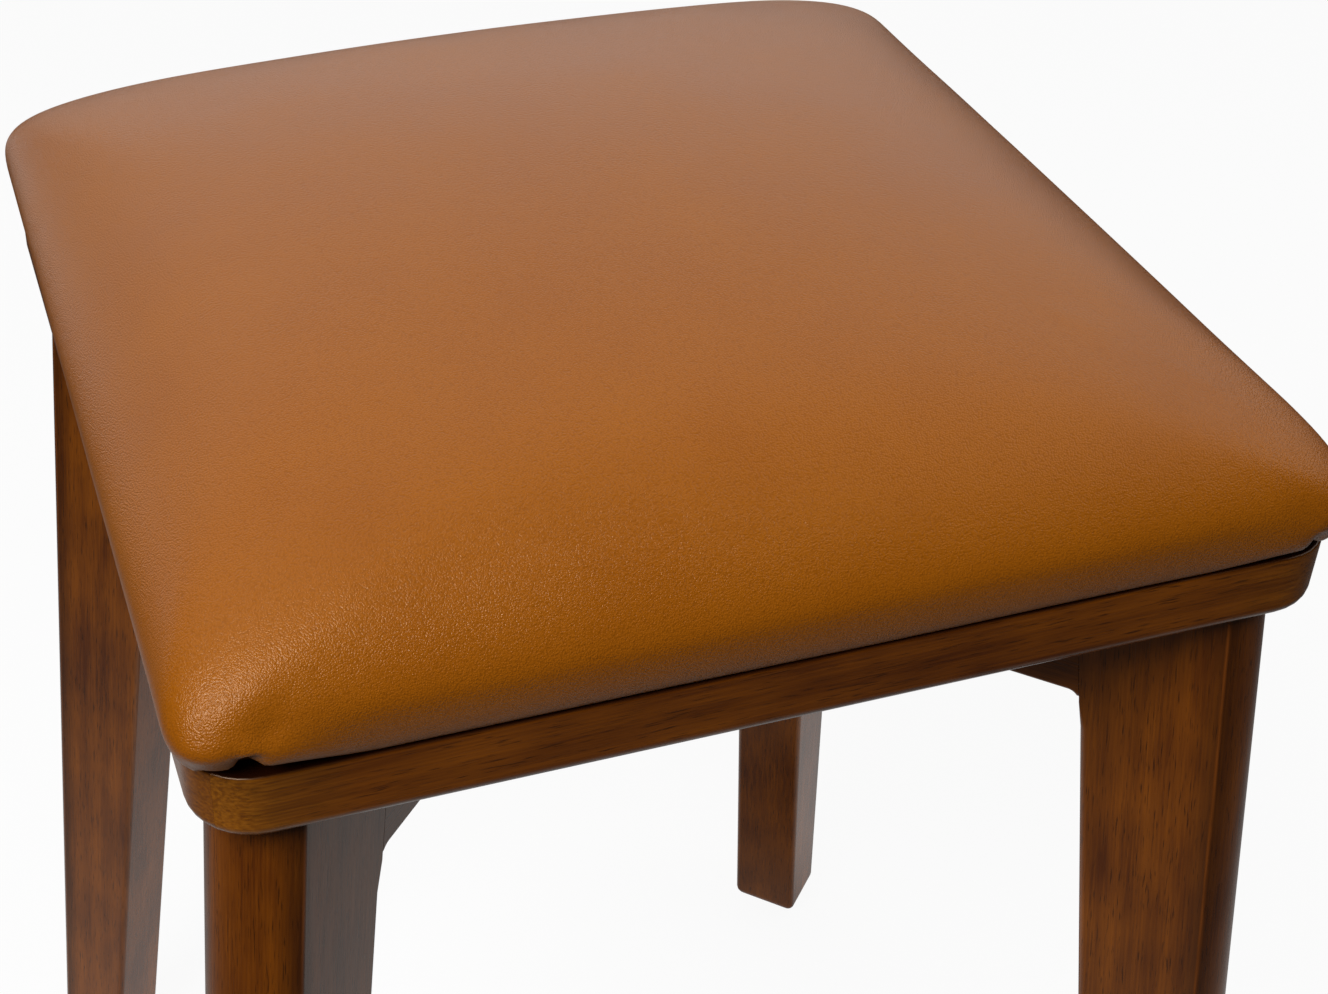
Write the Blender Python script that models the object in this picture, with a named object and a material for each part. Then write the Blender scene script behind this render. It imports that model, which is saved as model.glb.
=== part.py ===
"""A square upholstered stool.

A leather cushion lies on a mitred seat frame. Four tapered legs stand on the diagonals of the frame,
and two braces under the frame join them in pairs and cross in a half lap. Units are metres, +Z is up,
the front is -Y, and the origin is on the floor below the middle of the seat.
"""

import math

import bmesh
import bpy
from mathutils import Matrix, Vector

# Fits
FIT_GAP = 0.0003
HOLE_CLEARANCE = 0.0003
END_CLEARANCE = 0.0005
SOFT_GAP = 0.0004

# Seat frame of four mitred rails
FRAME_SIDE = 0.280
FRAME_CORNER_RADIUS = 0.016
RAIL_WIDTH = 0.052
RAIL_HEIGHT = 0.0186
RAIL_TOP_EASING = 0.0016
RAIL_BOTTOM_ROUND = 0.004

# Loose splines in the mitres
SPLINE_THICKNESS = 0.003
SPLINE_WIDTH = 0.016
SPLINE_LENGTH = 0.024
SPLINE_MARGIN = 0.012
SPLINE_COVER = 0.0045

# Legs, measured along the diagonal they stand on
LEG_LENGTH = 0.3955
LEG_THICKNESS = 0.027
LEG_TOP_DEPTH = 0.0432
LEG_FOOT_DEPTH = 0.0303
LEG_SETBACK = 0.009
LEG_SPLAY = 0.049
LEG_OUTER_BULGE = 0.0059
LEG_INNER_EASING = 0.0022
FOOT_ROUND = 0.005

# Braces between opposite legs
BRACE_DEPTH = 0.0405
BRACE_EASING = 0.0015

# Dowels
LEG_DOWEL_DIAMETER = 0.006
LEG_DOWEL_EDGE = 0.0065
LEG_DOWEL_BACKSET = 0.009
LEG_DOWEL_IN_LEG = 0.020
BRACE_DOWEL_DIAMETER = 0.008
BRACE_DOWEL_SPACING = 0.018
BRACE_DOWEL_IN_BRACE = 0.018
DOWEL_WEB = 0.003
DOWEL_CHAMFER = 0.0008

# Seat board and its screws
BOARD_THICKNESS = 0.012
BOARD_CORNER_RADIUS = 0.010
SCREW_DIAMETER = 0.004
SCREW_HEAD_DIAMETER = 0.0076
SCREW_HEAD_HEIGHT = 0.0026
SCREW_COUNTERBORE = 0.0045
SCREW_TIP_COVER = 0.003
SCREW_POINT = 0.004
SCREW_RECESS_SPAN = 0.004
SCREW_RECESS_BAR = 0.0011
SCREW_RECESS_DEPTH = 0.0014

# Cushion: leather drawn over foam, measured from its widest outline and its flat underside
LEATHER_THICKNESS = 0.0012
CUSHION_OVERHANG = 0.0033
CUSHION_CORNER_RADIUS = 0.012
CUSHION_CORNER_SPREAD = 1.1
CUSHION_WIDEST_LEVEL = 0.006
CUSHION_BOTTOM_ROLL = 0.005
CUSHION_SHOULDER_HEIGHT = 0.0355
CUSHION_SHOULDER_ROLL = 0.040
CUSHION_CROWN = 0.020
FOAM_EDGE = 0.008
HEM_TO_SCREW = 0.006

# Facets
ROUND_SIDES = 12
LEG_ARC_STEPS = 8
EASING_STEPS = 3
RAIL_ARC_STEPS = 6
FOOT_STEPS = 4
OUTLINE_SIDE_STEPS = 6
OUTLINE_ARC_STEPS = 4
ROLL_STEPS = 3
SHOULDER_STEPS = 5
CROWN_SCALES = (0.82, 0.62, 0.42, 0.22)
SMOOTH_ANGLE = math.radians(35)
CUTTER_MARGIN = 0.004

# Places worked out from the sizes above
FRAME_HALF = FRAME_SIDE / 2
RAIL_INNER = FRAME_HALF - RAIL_WIDTH
RAIL_MIDDLE = FRAME_HALF - RAIL_WIDTH / 2
FRAME_BOTTOM = LEG_LENGTH + FIT_GAP
FRAME_TOP = FRAME_BOTTOM + RAIL_HEIGHT
FRAME_DIAGONAL = FRAME_HALF * math.sqrt(2) - FRAME_CORNER_RADIUS * (math.sqrt(2) - 1)
MITRE_INNER = RAIL_INNER * math.sqrt(2)

LEG_CREST_TOP = FRAME_DIAGONAL - LEG_SETBACK
LEG_ARC_RADIUS = ((LEG_THICKNESS / 2) ** 2 + LEG_OUTER_BULGE**2) / (2 * LEG_OUTER_BULGE)
BRACE_BOTTOM = LEG_LENGTH - BRACE_DEPTH
BRACE_MIDDLE = LEG_LENGTH - BRACE_DEPTH / 2

SPLINE_BOTTOM = FRAME_TOP - SPLINE_COVER - SPLINE_THICKNESS
LEG_DOWEL_RADIAL = LEG_CREST_TOP - LEG_OUTER_BULGE - LEG_DOWEL_BACKSET
LEG_DOWEL_OFFSET = LEG_THICKNESS / 2 - LEG_DOWEL_EDGE
LEG_DOWEL_BOTTOM = LEG_LENGTH - LEG_DOWEL_IN_LEG
LEG_DOWEL_TOP = SPLINE_BOTTOM - DOWEL_WEB
BRACE_DOWEL_TIP = LEG_DOWEL_RADIAL - LEG_DOWEL_DIAMETER / 2 - DOWEL_WEB

CUSHION_HALF = FRAME_HALF + CUSHION_OVERHANG
CUSHION_BOTTOM = FRAME_TOP + FIT_GAP
LINING = LEATHER_THICKNESS + SOFT_GAP
BOARD_HALF = CUSHION_HALF - LINING - FOAM_EDGE - SOFT_GAP
BOARD_BOTTOM = CUSHION_BOTTOM + LEATHER_THICKNESS + FIT_GAP
BOARD_TOP = BOARD_BOTTOM + BOARD_THICKNESS
HEM_HALF = RAIL_MIDDLE + HEM_TO_SCREW
SCREW_SEAT = FRAME_BOTTOM + SCREW_COUNTERBORE - FIT_GAP
SCREW_TIP = BOARD_TOP - SCREW_TIP_COVER

# Turns about +Z that carry a piece to its corner or side
CORNERS = {"front_left": -135, "front_right": -45, "rear_right": 45, "rear_left": 135}
SIDES = {"front": 0, "right": 90, "rear": 180, "left": 270}


def make_finish(name, colour, roughness, metallic=0.0):
    """A Principled BSDF material."""
    finish = bpy.data.materials.new(name)
    finish.use_nodes = True
    shader = finish.node_tree.nodes["Principled BSDF"]
    shader.inputs["Base Color"].default_value = (*colour, 1.0)
    shader.inputs["Roughness"].default_value = roughness
    shader.inputs["Metallic"].default_value = metallic
    return finish


def add_object(name, bm, finish, turn=0.0):
    """An object made from bm, turned about +Z by turn degrees and parented to the stool's empty."""
    bmesh.ops.recalc_face_normals(bm, faces=bm.faces)
    mesh = bpy.data.meshes.new(name)
    bm.to_mesh(mesh)
    bm.free()
    mesh.shade_smooth()
    mesh.set_sharp_from_angle(angle=SMOOTH_ANGLE)
    mesh.materials.append(finish)
    piece = bpy.data.objects.new(name, mesh)
    piece.rotation_euler.z = math.radians(turn)
    piece.parent = STOOL
    bpy.context.scene.collection.objects.link(piece)
    return piece


def cut(piece, bm, finish):
    """Cut the closed shapes in bm, drawn in the piece's own frame, out of the piece."""
    cutter = add_object(piece.name + ".cutter", bm, finish, math.degrees(piece.rotation_euler.z))
    cutter.hide_render = True
    cutter.display_type = "WIRE"
    step = piece.modifiers.new("holes", "BOOLEAN")
    step.operation = "DIFFERENCE"
    step.solver = "EXACT"
    step.object = cutter


def skin(bm, rings):
    """Faces between successive rings of as many points each. Returns the rings' vertices."""
    loops = [[bm.verts.new(point) for point in ring] for ring in rings]
    for lower, upper in zip(loops, loops[1:]):
        for i in range(len(lower)):
            j = (i + 1) % len(lower)
            bm.faces.new((lower[i], lower[j], upper[j], upper[i]))
    return loops


def skin_closed(bm, rings):
    """The same, with a flat face on the first and the last ring."""
    loops = skin(bm, rings)
    bm.faces.new(reversed(loops[0]))
    bm.faces.new(loops[-1])


def fan(bm, loop, point):
    """Triangles from a loop to one point."""
    apex = bm.verts.new(point)
    for i in range(len(loop)):
        bm.faces.new((loop[i], loop[(i + 1) % len(loop)], apex))


def arc(centre, radius, start, end, steps):
    """Points on an arc in the plane, from one angle in degrees to another."""
    angles = [math.radians(start + (end - start) * i / steps) for i in range(steps + 1)]
    return [(centre[0] + radius * math.cos(a), centre[1] + radius * math.sin(a)) for a in angles]


def turned(bm, profile, place):
    """A solid of revolution: profile lists (radius, height), and place moves its axis from +Z."""
    rings = []
    for radius, height in profile:
        circle = arc((0, 0), radius, 0, 360, ROUND_SIDES)[:-1]
        rings.append([place @ Vector((x, y, height)) for x, y in circle])
    skin_closed(bm, rings)


def bar(bm, low, high):
    """A box from its lowest to its highest corner."""
    outline = ((low[0], low[1]), (high[0], low[1]), (high[0], high[1]), (low[0], high[1]))
    skin_closed(bm, [[(x, y, z) for x, y in outline] for z in (low[2], high[2])])


def dowel_profile(diameter, length):
    """Profile of a dowel with chamfered ends."""
    radius = diameter / 2
    return (
        (radius - DOWEL_CHAMFER, 0),
        (radius, DOWEL_CHAMFER),
        (radius, length - DOWEL_CHAMFER),
        (radius - DOWEL_CHAMFER, length),
    )


def hole_profile(diameter, length):
    """Profile of the hole for a round piece of this diameter."""
    radius = diameter / 2 + HOLE_CLEARANCE
    return ((radius, 0), (radius, length))


def upright(x, y, z):
    """A place with its axis along +Z."""
    return Matrix.Translation((x, y, z))


def along_x(x, y, z):
    """A place with its axis along +X."""
    return Matrix.Translation((x, y, z)) @ Matrix.Rotation(math.radians(90), 4, "Y")


def rounded_square(half, radius):
    """Points of a square with round corners, counter-clockwise."""
    points = []
    for quarter in range(4):
        turn = Matrix.Rotation(math.radians(90 * quarter), 2)
        corner = arc((half - radius, half - radius), radius, 0, 90, OUTLINE_ARC_STEPS)
        run = 2 * (half - radius)
        side = [
            (half - radius - run * i / OUTLINE_SIDE_STEPS, half)
            for i in range(1, OUTLINE_SIDE_STEPS)
        ]
        points += [turn @ Vector(point) for point in corner + side]
    return points


# Seat frame


def rail_profile():
    """Outer side of a rail from its underside to its top, as (inset, height)."""
    low = arc((RAIL_BOTTOM_ROUND, RAIL_BOTTOM_ROUND), RAIL_BOTTOM_ROUND, 270, 180, FOOT_STEPS)
    centre = (RAIL_TOP_EASING, RAIL_HEIGHT - RAIL_TOP_EASING)
    return low + arc(centre, RAIL_TOP_EASING, 180, 90, EASING_STEPS)


def rail_shape():
    """The front rail: its rounded outer side swept round both corners, then cut at the mitres."""
    bm = bmesh.new()
    middle = FRAME_HALF - FRAME_CORNER_RADIUS
    columns = []
    for centre_x, start, end in ((-middle, 210, 270), (middle, 270, 330)):
        for x, y in arc((0, 0), 1, start, end, RAIL_ARC_STEPS):
            columns.append(
                [
                    bm.verts.new(
                        (
                            centre_x + x * (FRAME_CORNER_RADIUS - inset),
                            -middle + y * (FRAME_CORNER_RADIUS - inset),
                            FRAME_BOTTOM + height,
                        )
                    )
                    for inset, height in rail_profile()
                ]
            )
    left, right = (
        [bm.verts.new((x, -RAIL_INNER, z)) for z in (FRAME_BOTTOM, FRAME_TOP)]
        for x in (-middle, middle)
    )
    for one, other in zip(columns, columns[1:]):
        for i in range(len(one) - 1):
            bm.faces.new((one[i], other[i], other[i + 1], one[i + 1]))
    bm.faces.new([column[0] for column in columns] + [right[0], left[0]])
    bm.faces.new([column[-1] for column in columns] + [right[1], left[1]])
    bm.faces.new(columns[0] + [left[1], left[0]])
    bm.faces.new(columns[-1] + [right[1], right[0]])
    bm.faces.new((left[0], right[0], right[1], left[1]))
    bmesh.ops.recalc_face_normals(bm, faces=bm.faces)
    for side in (-1, 1):
        normal = Vector((side, 1, 0)).normalized()
        bmesh.ops.bisect_plane(
            bm,
            geom=bm.verts[:] + bm.edges[:] + bm.faces[:],
            plane_co=-normal * FIT_GAP / 2,
            plane_no=normal,
            clear_outer=True,
        )
        bmesh.ops.holes_fill(bm, edges=[edge for edge in bm.edges if edge.is_boundary])
    return bm


def rail_holes():
    """Spline slots, leg dowel holes and the stepped screw hole of the front rail."""
    bm = bmesh.new()
    for turn in (CORNERS["front_left"], CORNERS["front_right"]):
        corner = Matrix.Rotation(math.radians(turn), 4, "Z")
        slot = bmesh.new()
        spline_block(slot, HOLE_CLEARANCE)
        slot.transform(corner)
        joined = bpy.data.meshes.new("slot")
        slot.to_mesh(joined)
        slot.free()
        bm.from_mesh(joined)
        bpy.data.meshes.remove(joined)
        depth = LEG_DOWEL_TOP + END_CLEARANCE - FRAME_BOTTOM + CUTTER_MARGIN
        offset = LEG_DOWEL_OFFSET if turn == CORNERS["front_left"] else -LEG_DOWEL_OFFSET
        place = corner @ upright(LEG_DOWEL_RADIAL, offset, FRAME_BOTTOM - CUTTER_MARGIN)
        turned(bm, hole_profile(LEG_DOWEL_DIAMETER, depth), place)
    bore = SCREW_DIAMETER / 2 + HOLE_CLEARANCE
    counterbore = SCREW_HEAD_DIAMETER / 2 + HOLE_CLEARANCE
    steps = (
        (counterbore, -CUTTER_MARGIN),
        (counterbore, SCREW_COUNTERBORE),
        (bore, SCREW_COUNTERBORE),
        (bore, RAIL_HEIGHT + CUTTER_MARGIN),
    )
    turned(bm, steps, upright(0, -RAIL_MIDDLE, FRAME_BOTTOM))
    return bm


def spline_block(bm, grown=0.0):
    """The spline of the corner on +X, with every face moved out by grown."""
    start = MITRE_INNER + SPLINE_MARGIN
    low = Vector((start, -SPLINE_WIDTH / 2, SPLINE_BOTTOM))
    high = Vector((start + SPLINE_LENGTH, SPLINE_WIDTH / 2, SPLINE_BOTTOM + SPLINE_THICKNESS))
    grow = Vector((grown, grown, grown))
    bar(bm, low - grow, high + grow)


def build_frame(wood, beech):
    """Four rails and the splines in their mitres."""
    for side, turn in SIDES.items():
        rail = add_object("seat_rail_" + side, rail_shape(), wood, turn)
        cut(rail, rail_holes(), wood)
    for corner, turn in CORNERS.items():
        bm = bmesh.new()
        spline_block(bm)
        add_object("mitre_spline_" + corner, bm, beech, turn)


# Legs and braces, drawn on +X and turned to their corners


def leg_share(height):
    """How far down the leg a height lies: 0 at the top and 1 on the floor."""
    return 1 - height / LEG_LENGTH


def leg_crest(height):
    """Radial place of the leg's outermost line."""
    return LEG_CREST_TOP + LEG_SPLAY * leg_share(height)


def leg_inner(height):
    """Radial place of the leg's inner face."""
    depth = LEG_TOP_DEPTH + (LEG_FOOT_DEPTH - LEG_TOP_DEPTH) * leg_share(height)
    return leg_crest(height) - depth


def leg_section(height, inset=0.0):
    """Points round the leg at a height, counter-clockwise, with its faces moved in by inset."""
    half = LEG_THICKNESS / 2 - inset
    radius = LEG_ARC_RADIUS - inset
    spread = math.degrees(math.asin(half / radius))
    easing = max(LEG_INNER_EASING - inset, FIT_GAP)
    inner = leg_inner(height) + inset + easing
    points = arc((leg_crest(height) - LEG_ARC_RADIUS, 0), radius, -spread, spread, LEG_ARC_STEPS)
    points += arc((inner, half - easing), easing, 90, 180, EASING_STEPS)
    points += arc((inner, easing - half), easing, 180, 270, EASING_STEPS)
    return [(x, y, height) for x, y in points]


def leg_shape():
    """A leg with its foot rounded all round."""
    bm = bmesh.new()
    rings = []
    for i in range(FOOT_STEPS):
        angle = math.radians(90 * i / FOOT_STEPS)
        inset = FOOT_ROUND * (1 - math.sin(angle))
        rings.append(leg_section(FOOT_ROUND * (1 - math.cos(angle)), inset))
    rings += [leg_section(FOOT_ROUND), leg_section(LEG_LENGTH)]
    skin_closed(bm, rings)
    return bm


def brace_dowels():
    """Height, inner end and length of each dowel between a brace and its leg."""
    found = []
    for side in (1, -1):
        height = BRACE_MIDDLE + side * BRACE_DOWEL_SPACING / 2
        start = leg_inner(height) - BRACE_DOWEL_IN_BRACE
        found.append((height, start, BRACE_DOWEL_TIP - start))
    return found


def brace_dowel_holes(bm, turn=0.0):
    """Holes round the dowels of one joint, which reach into the leg and the brace alike."""
    place = Matrix.Rotation(math.radians(turn), 4, "Z")
    for height, start, length in brace_dowels():
        profile = hole_profile(BRACE_DOWEL_DIAMETER, length + 2 * END_CLEARANCE)
        turned(bm, profile, place @ along_x(start - END_CLEARANCE, 0, height))


def leg_holes():
    """Holes for the dowels to the seat frame and to the brace."""
    bm = bmesh.new()
    start = LEG_DOWEL_BOTTOM - END_CLEARANCE
    for offset in (-LEG_DOWEL_OFFSET, LEG_DOWEL_OFFSET):
        profile = hole_profile(LEG_DOWEL_DIAMETER, LEG_LENGTH + CUTTER_MARGIN - start)
        turned(bm, profile, upright(LEG_DOWEL_RADIAL, offset, start))
    brace_dowel_holes(bm)
    return bm


def brace_shape():
    """A brace that ends against the slanted inner faces of two opposite legs."""
    bm = bmesh.new()
    half = LEG_THICKNESS / 2
    rings = []
    for height in (BRACE_BOTTOM, LEG_LENGTH):
        end = leg_inner(height) - FIT_GAP
        rings.append(
            [(-end, -half, height), (end, -half, height), (end, half, height), (-end, half, height)]
        )
    skin_closed(bm, rings)
    long_edges = [
        edge
        for edge in bm.edges
        if all(abs(vert.co.z - BRACE_BOTTOM) < FIT_GAP for vert in edge.verts)
        and edge.verts[0].co.y == edge.verts[1].co.y
    ]
    bmesh.ops.bevel(
        bm,
        geom=long_edges,
        offset=BRACE_EASING,
        segments=EASING_STEPS,
        profile=0.5,
        affect="EDGES",
        material=-1,
    )
    return bm


def brace_holes(notch_low, notch_high):
    """Dowel holes at both ends and the half-lap notch across the middle."""
    bm = bmesh.new()
    half = LEG_THICKNESS / 2
    across = half + FIT_GAP
    bar(
        bm,
        (-across, -half - CUTTER_MARGIN, notch_low),
        (across, half + CUTTER_MARGIN, notch_high),
    )
    for turn in (0, 180):
        brace_dowel_holes(bm, turn)
    return bm


def build_legs(wood, beech):
    """Four legs, two braces and the dowels that join them to each other and to the seat frame."""
    for corner, turn in CORNERS.items():
        leg = add_object("leg_" + corner, leg_shape(), wood, turn)
        cut(leg, leg_holes(), wood)
        for letter, offset in (("a", -LEG_DOWEL_OFFSET), ("b", LEG_DOWEL_OFFSET)):
            bm = bmesh.new()
            profile = dowel_profile(LEG_DOWEL_DIAMETER, LEG_DOWEL_TOP - LEG_DOWEL_BOTTOM)
            turned(bm, profile, upright(LEG_DOWEL_RADIAL, offset, LEG_DOWEL_BOTTOM))
            add_object(f"leg_dowel_{corner}_{letter}", bm, beech, turn)
        for level, (height, start, length) in zip(("upper", "lower"), brace_dowels()):
            bm = bmesh.new()
            turned(bm, dowel_profile(BRACE_DOWEL_DIAMETER, length), along_x(start, 0, height))
            add_object(f"brace_dowel_{corner}_{level}", bm, beech, turn)
    over = (BRACE_BOTTOM - CUTTER_MARGIN, BRACE_MIDDLE + FIT_GAP / 2)
    under = (BRACE_MIDDLE - FIT_GAP / 2, LEG_LENGTH + CUTTER_MARGIN)
    for name, turn, notch in (
        ("cross_brace_lap_over", CORNERS["rear_right"], over),
        ("cross_brace_lap_under", CORNERS["rear_left"], under),
    ):
        brace = add_object(name, brace_shape(), wood, turn)
        cut(brace, brace_holes(*notch), wood)


# Seat board and screws


def screw_places():
    """Where the four screws stand, one in the middle of each rail."""
    return {
        side: Matrix.Rotation(math.radians(turn), 4, "Z") @ upright(0, -RAIL_MIDDLE, 0)
        for side, turn in SIDES.items()
    }


def build_board(plywood, steel):
    """The plywood seat board and the screws that hold it to the rails from below."""
    bm = bmesh.new()
    outline = rounded_square(BOARD_HALF, BOARD_CORNER_RADIUS)
    skin_closed(bm, [[(x, y, z) for x, y in outline] for z in (BOARD_BOTTOM, BOARD_TOP)])
    board = add_object("seat_board", bm, plywood)
    holes = bmesh.new()
    start = BOARD_BOTTOM - CUTTER_MARGIN
    for place in screw_places().values():
        profile = hole_profile(SCREW_DIAMETER, SCREW_TIP + END_CLEARANCE - start)
        turned(holes, profile, place @ upright(0, 0, start))
    cut(board, holes, plywood)

    shank = SCREW_DIAMETER / 2
    head = SCREW_HEAD_DIAMETER / 2
    dome = SCREW_HEAD_HEIGHT / 3
    profile = (
        (head - dome, SCREW_SEAT - SCREW_HEAD_HEIGHT),
        (head, SCREW_SEAT - SCREW_HEAD_HEIGHT + dome),
        (head, SCREW_SEAT),
        (shank, SCREW_SEAT),
        (shank, SCREW_TIP - SCREW_POINT),
        (shank / 4, SCREW_TIP),
    )
    for side, turn in SIDES.items():
        bm = bmesh.new()
        turned(bm, profile, upright(0, -RAIL_MIDDLE, 0))
        screw = add_object("seat_screw_" + side, bm, steel, turn)
        cut(screw, cross_recess(), steel)


def cross_recess():
    """The cross-shaped driver recess in the head of the front screw."""
    bm = bmesh.new()
    long, short = SCREW_RECESS_SPAN / 2, SCREW_RECESS_BAR / 2
    quarter = [Vector((long, -short)), Vector((long, short)), Vector((short, short))]
    outline = []
    for i in range(4):
        turn = Matrix.Rotation(math.radians(90 * i), 2)
        outline += [turn @ point for point in quarter]
    face = SCREW_SEAT - SCREW_HEAD_HEIGHT
    levels = (face - CUTTER_MARGIN, face + SCREW_RECESS_DEPTH)
    skin_closed(bm, [[(x, y - RAIL_MIDDLE, z) for x, y in outline] for z in levels])
    return bm


# Cushion


def cushion_point(x, y, height, lift):
    """A point of the cushion, with the crown blended in by lift."""
    across, along = x / CUSHION_HALF, y / CUSHION_HALF
    crown = CUSHION_CROWN * (1 - across**2) * (1 - along**2)
    return (x, y, CUSHION_BOTTOM + height + lift * crown)


def cushion_rings(inset):
    """Rings of the cushion's surface moved in by inset, from its flat underside up to the crown."""
    rings = []

    def add_ring(side_inset, radius, height, lift, scale=1.0):
        outline = rounded_square(CUSHION_HALF - side_inset, max(radius, LEATHER_THICKNESS))
        rings.append([cushion_point(x * scale, y * scale, height, lift) for x, y in outline])

    for i in range(ROLL_STEPS + 1):
        angle = math.radians(90 * i / ROLL_STEPS)
        side_inset = CUSHION_BOTTOM_ROLL - (CUSHION_BOTTOM_ROLL - inset) * math.sin(angle)
        rise = CUSHION_WIDEST_LEVEL - (CUSHION_WIDEST_LEVEL - inset) * math.cos(angle)
        add_ring(side_inset, CUSHION_CORNER_RADIUS - side_inset, rise, 0)
    shoulder = CUSHION_SHOULDER_HEIGHT - CUSHION_WIDEST_LEVEL - inset
    for i in range(1, SHOULDER_STEPS + 1):
        angle = math.radians(90 * i / SHOULDER_STEPS)
        drawn_in = CUSHION_SHOULDER_ROLL * (1 - math.cos(angle))
        side_inset = drawn_in + inset * math.cos(angle)
        radius = CUSHION_CORNER_RADIUS + CUSHION_CORNER_SPREAD * drawn_in - inset * math.cos(angle)
        rise = CUSHION_WIDEST_LEVEL + shoulder * math.sin(angle)
        add_ring(side_inset, radius, rise, math.sin(angle))
    top_radius = CUSHION_CORNER_RADIUS + CUSHION_CORNER_SPREAD * CUSHION_SHOULDER_ROLL
    for scale in CROWN_SCALES:
        add_ring(CUSHION_SHOULDER_ROLL, top_radius, CUSHION_SHOULDER_HEIGHT - inset, 1, scale)
    return rings


def crown_point(inset):
    """The middle of the cushion's surface moved in by inset."""
    return cushion_point(0, 0, CUSHION_SHOULDER_HEIGHT - inset, 1)


def leather_shape():
    """The cover: an outer and an inner skin that meet along the edge of the turned-in hem."""
    bm = bmesh.new()
    radius = max(CUSHION_CORNER_RADIUS - CUSHION_HALF + HEM_HALF, LEATHER_THICKNESS)
    hem = rounded_square(HEM_HALF, radius)
    skins = []
    for inset in (0.0, LEATHER_THICKNESS):
        edge = [(x, y, CUSHION_BOTTOM + inset) for x, y in hem]
        loops = skin(bm, [edge, *cushion_rings(inset)])
        fan(bm, loops[-1], crown_point(inset))
        skins.append(loops[0])
    outer, inner = skins
    for i in range(len(outer)):
        j = (i + 1) % len(outer)
        bm.faces.new((outer[i], inner[i], inner[j], outer[j]))
    return bm


def foam_shape():
    """The pad: it fills the cover and wraps the edge of the seat board, which sits in its recess."""
    bm = bmesh.new()
    recess = rounded_square(BOARD_HALF + SOFT_GAP, BOARD_CORNER_RADIUS + SOFT_GAP)
    base = CUSHION_BOTTOM + LINING
    roof = [(x, y, BOARD_TOP + SOFT_GAP) for x, y in recess]
    rim = [(x, y, base) for x, y in recess]
    loops = skin(bm, [roof, rim, *cushion_rings(LINING)])
    bm.faces.new(loops[0])
    fan(bm, loops[-1], crown_point(LINING))
    return bm


def build_cushion(leather, foam):
    """The foam pad and its leather cover."""
    add_object("foam_pad", foam_shape(), foam)
    add_object("leather_cover", leather_shape(), leather)


for leftover in list(bpy.data.objects):
    bpy.data.objects.remove(leftover)
STOOL = bpy.data.objects.new("stool", None)
bpy.context.scene.collection.objects.link(STOOL)

stained_wood = make_finish("walnut_stained_wood", (0.085, 0.030, 0.010), 0.32)
beech = make_finish("beech_dowel", (0.52, 0.34, 0.18), 0.6)
plywood = make_finish("plywood", (0.48, 0.33, 0.19), 0.7)
leather = make_finish("tan_leather", (0.26, 0.088, 0.016), 0.42)
foam = make_finish("polyurethane_foam", (0.78, 0.70, 0.48), 0.9)
steel = make_finish("zinc_plated_steel", (0.62, 0.62, 0.60), 0.35, 1.0)

build_frame(stained_wood, beech)
build_legs(stained_wood, beech)
build_board(plywood, steel)
build_cushion(leather, foam)
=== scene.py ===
"""Looks of a square upholstered stool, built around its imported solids.

The leather cover, its foam pad, the mitred seat frame, the legs and the crossed braces are modelled here
and stand for their solids. Dowels, splines, screws and the seat board keep their solids and get finishes.
Units are metres, +Z is up, and the front of the stool faces -Y.
"""

from __future__ import annotations

import logging
import math
from dataclasses import dataclass
from enum import Enum
from typing import NamedTuple

import bmesh
import bpy
from bmesh.types import BMEdge, BMesh, BMVert
from bpy.types import Material, Node, NodeSocket, NodeTree, Object
from mathutils import Matrix, Vector, noise

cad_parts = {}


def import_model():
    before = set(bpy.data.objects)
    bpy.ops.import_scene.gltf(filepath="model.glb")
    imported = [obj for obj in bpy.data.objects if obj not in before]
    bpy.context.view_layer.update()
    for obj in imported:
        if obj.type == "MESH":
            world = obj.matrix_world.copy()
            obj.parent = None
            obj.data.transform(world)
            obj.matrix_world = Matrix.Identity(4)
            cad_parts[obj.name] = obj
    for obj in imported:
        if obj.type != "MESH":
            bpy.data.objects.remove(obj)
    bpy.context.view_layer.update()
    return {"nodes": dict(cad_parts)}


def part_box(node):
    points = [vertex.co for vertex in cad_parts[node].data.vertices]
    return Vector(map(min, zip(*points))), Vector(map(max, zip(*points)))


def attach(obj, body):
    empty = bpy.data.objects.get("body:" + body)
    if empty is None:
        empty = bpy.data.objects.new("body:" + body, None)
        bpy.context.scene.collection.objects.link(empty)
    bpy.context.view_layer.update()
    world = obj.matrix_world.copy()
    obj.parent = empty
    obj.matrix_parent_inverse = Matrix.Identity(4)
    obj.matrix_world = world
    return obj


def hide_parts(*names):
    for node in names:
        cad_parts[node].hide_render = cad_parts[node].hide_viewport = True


# Two, three or four values that belong together
Pair = tuple[float, float]
Triple = tuple[float, float, float]
Quad = tuple[float, float, float, float]

LOG = logging.getLogger("stool")
ROOT_BODY = "root"
MILLIMETRE = 0.001
HAIR = 0.0001
ALMOST_NOTHING = 1e-9
SMOOTH_ANGLE = math.radians(32)
QUARTER = math.radians(90)
UP = Vector((0, 0, 1))
ACROSS = Vector((1, 0, 0))
WHITE = "#FFFFFF"
LACQUER_IOR = 1.5

# Layers of a piece's points: how dark painted shade makes them, and how far they are painted paler, as a
# painted highlight on the legs' edges and, at the rails' ends, from sanding and partly as painted light
SHADE_LAYER, LIGHT_AND_WEAR_LAYER = LAYERS = ("stain", "light_and_wear")

# Sockets of a Mix node that works on colours, of a Map Range node and of a Bump node. A finish's maps hold
# the values between which a pattern runs and what they become, and its relief holds a strength and a depth.
MIX_FACTOR, MIX_A, MIX_B, MIX_RESULT = 0, 6, 7, 2
MAP_SOCKETS = ("Value", "From Min", "From Max", "To Min", "To Max")
BUMP_SOCKETS = ("Height", "Strength", "Distance")


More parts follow.
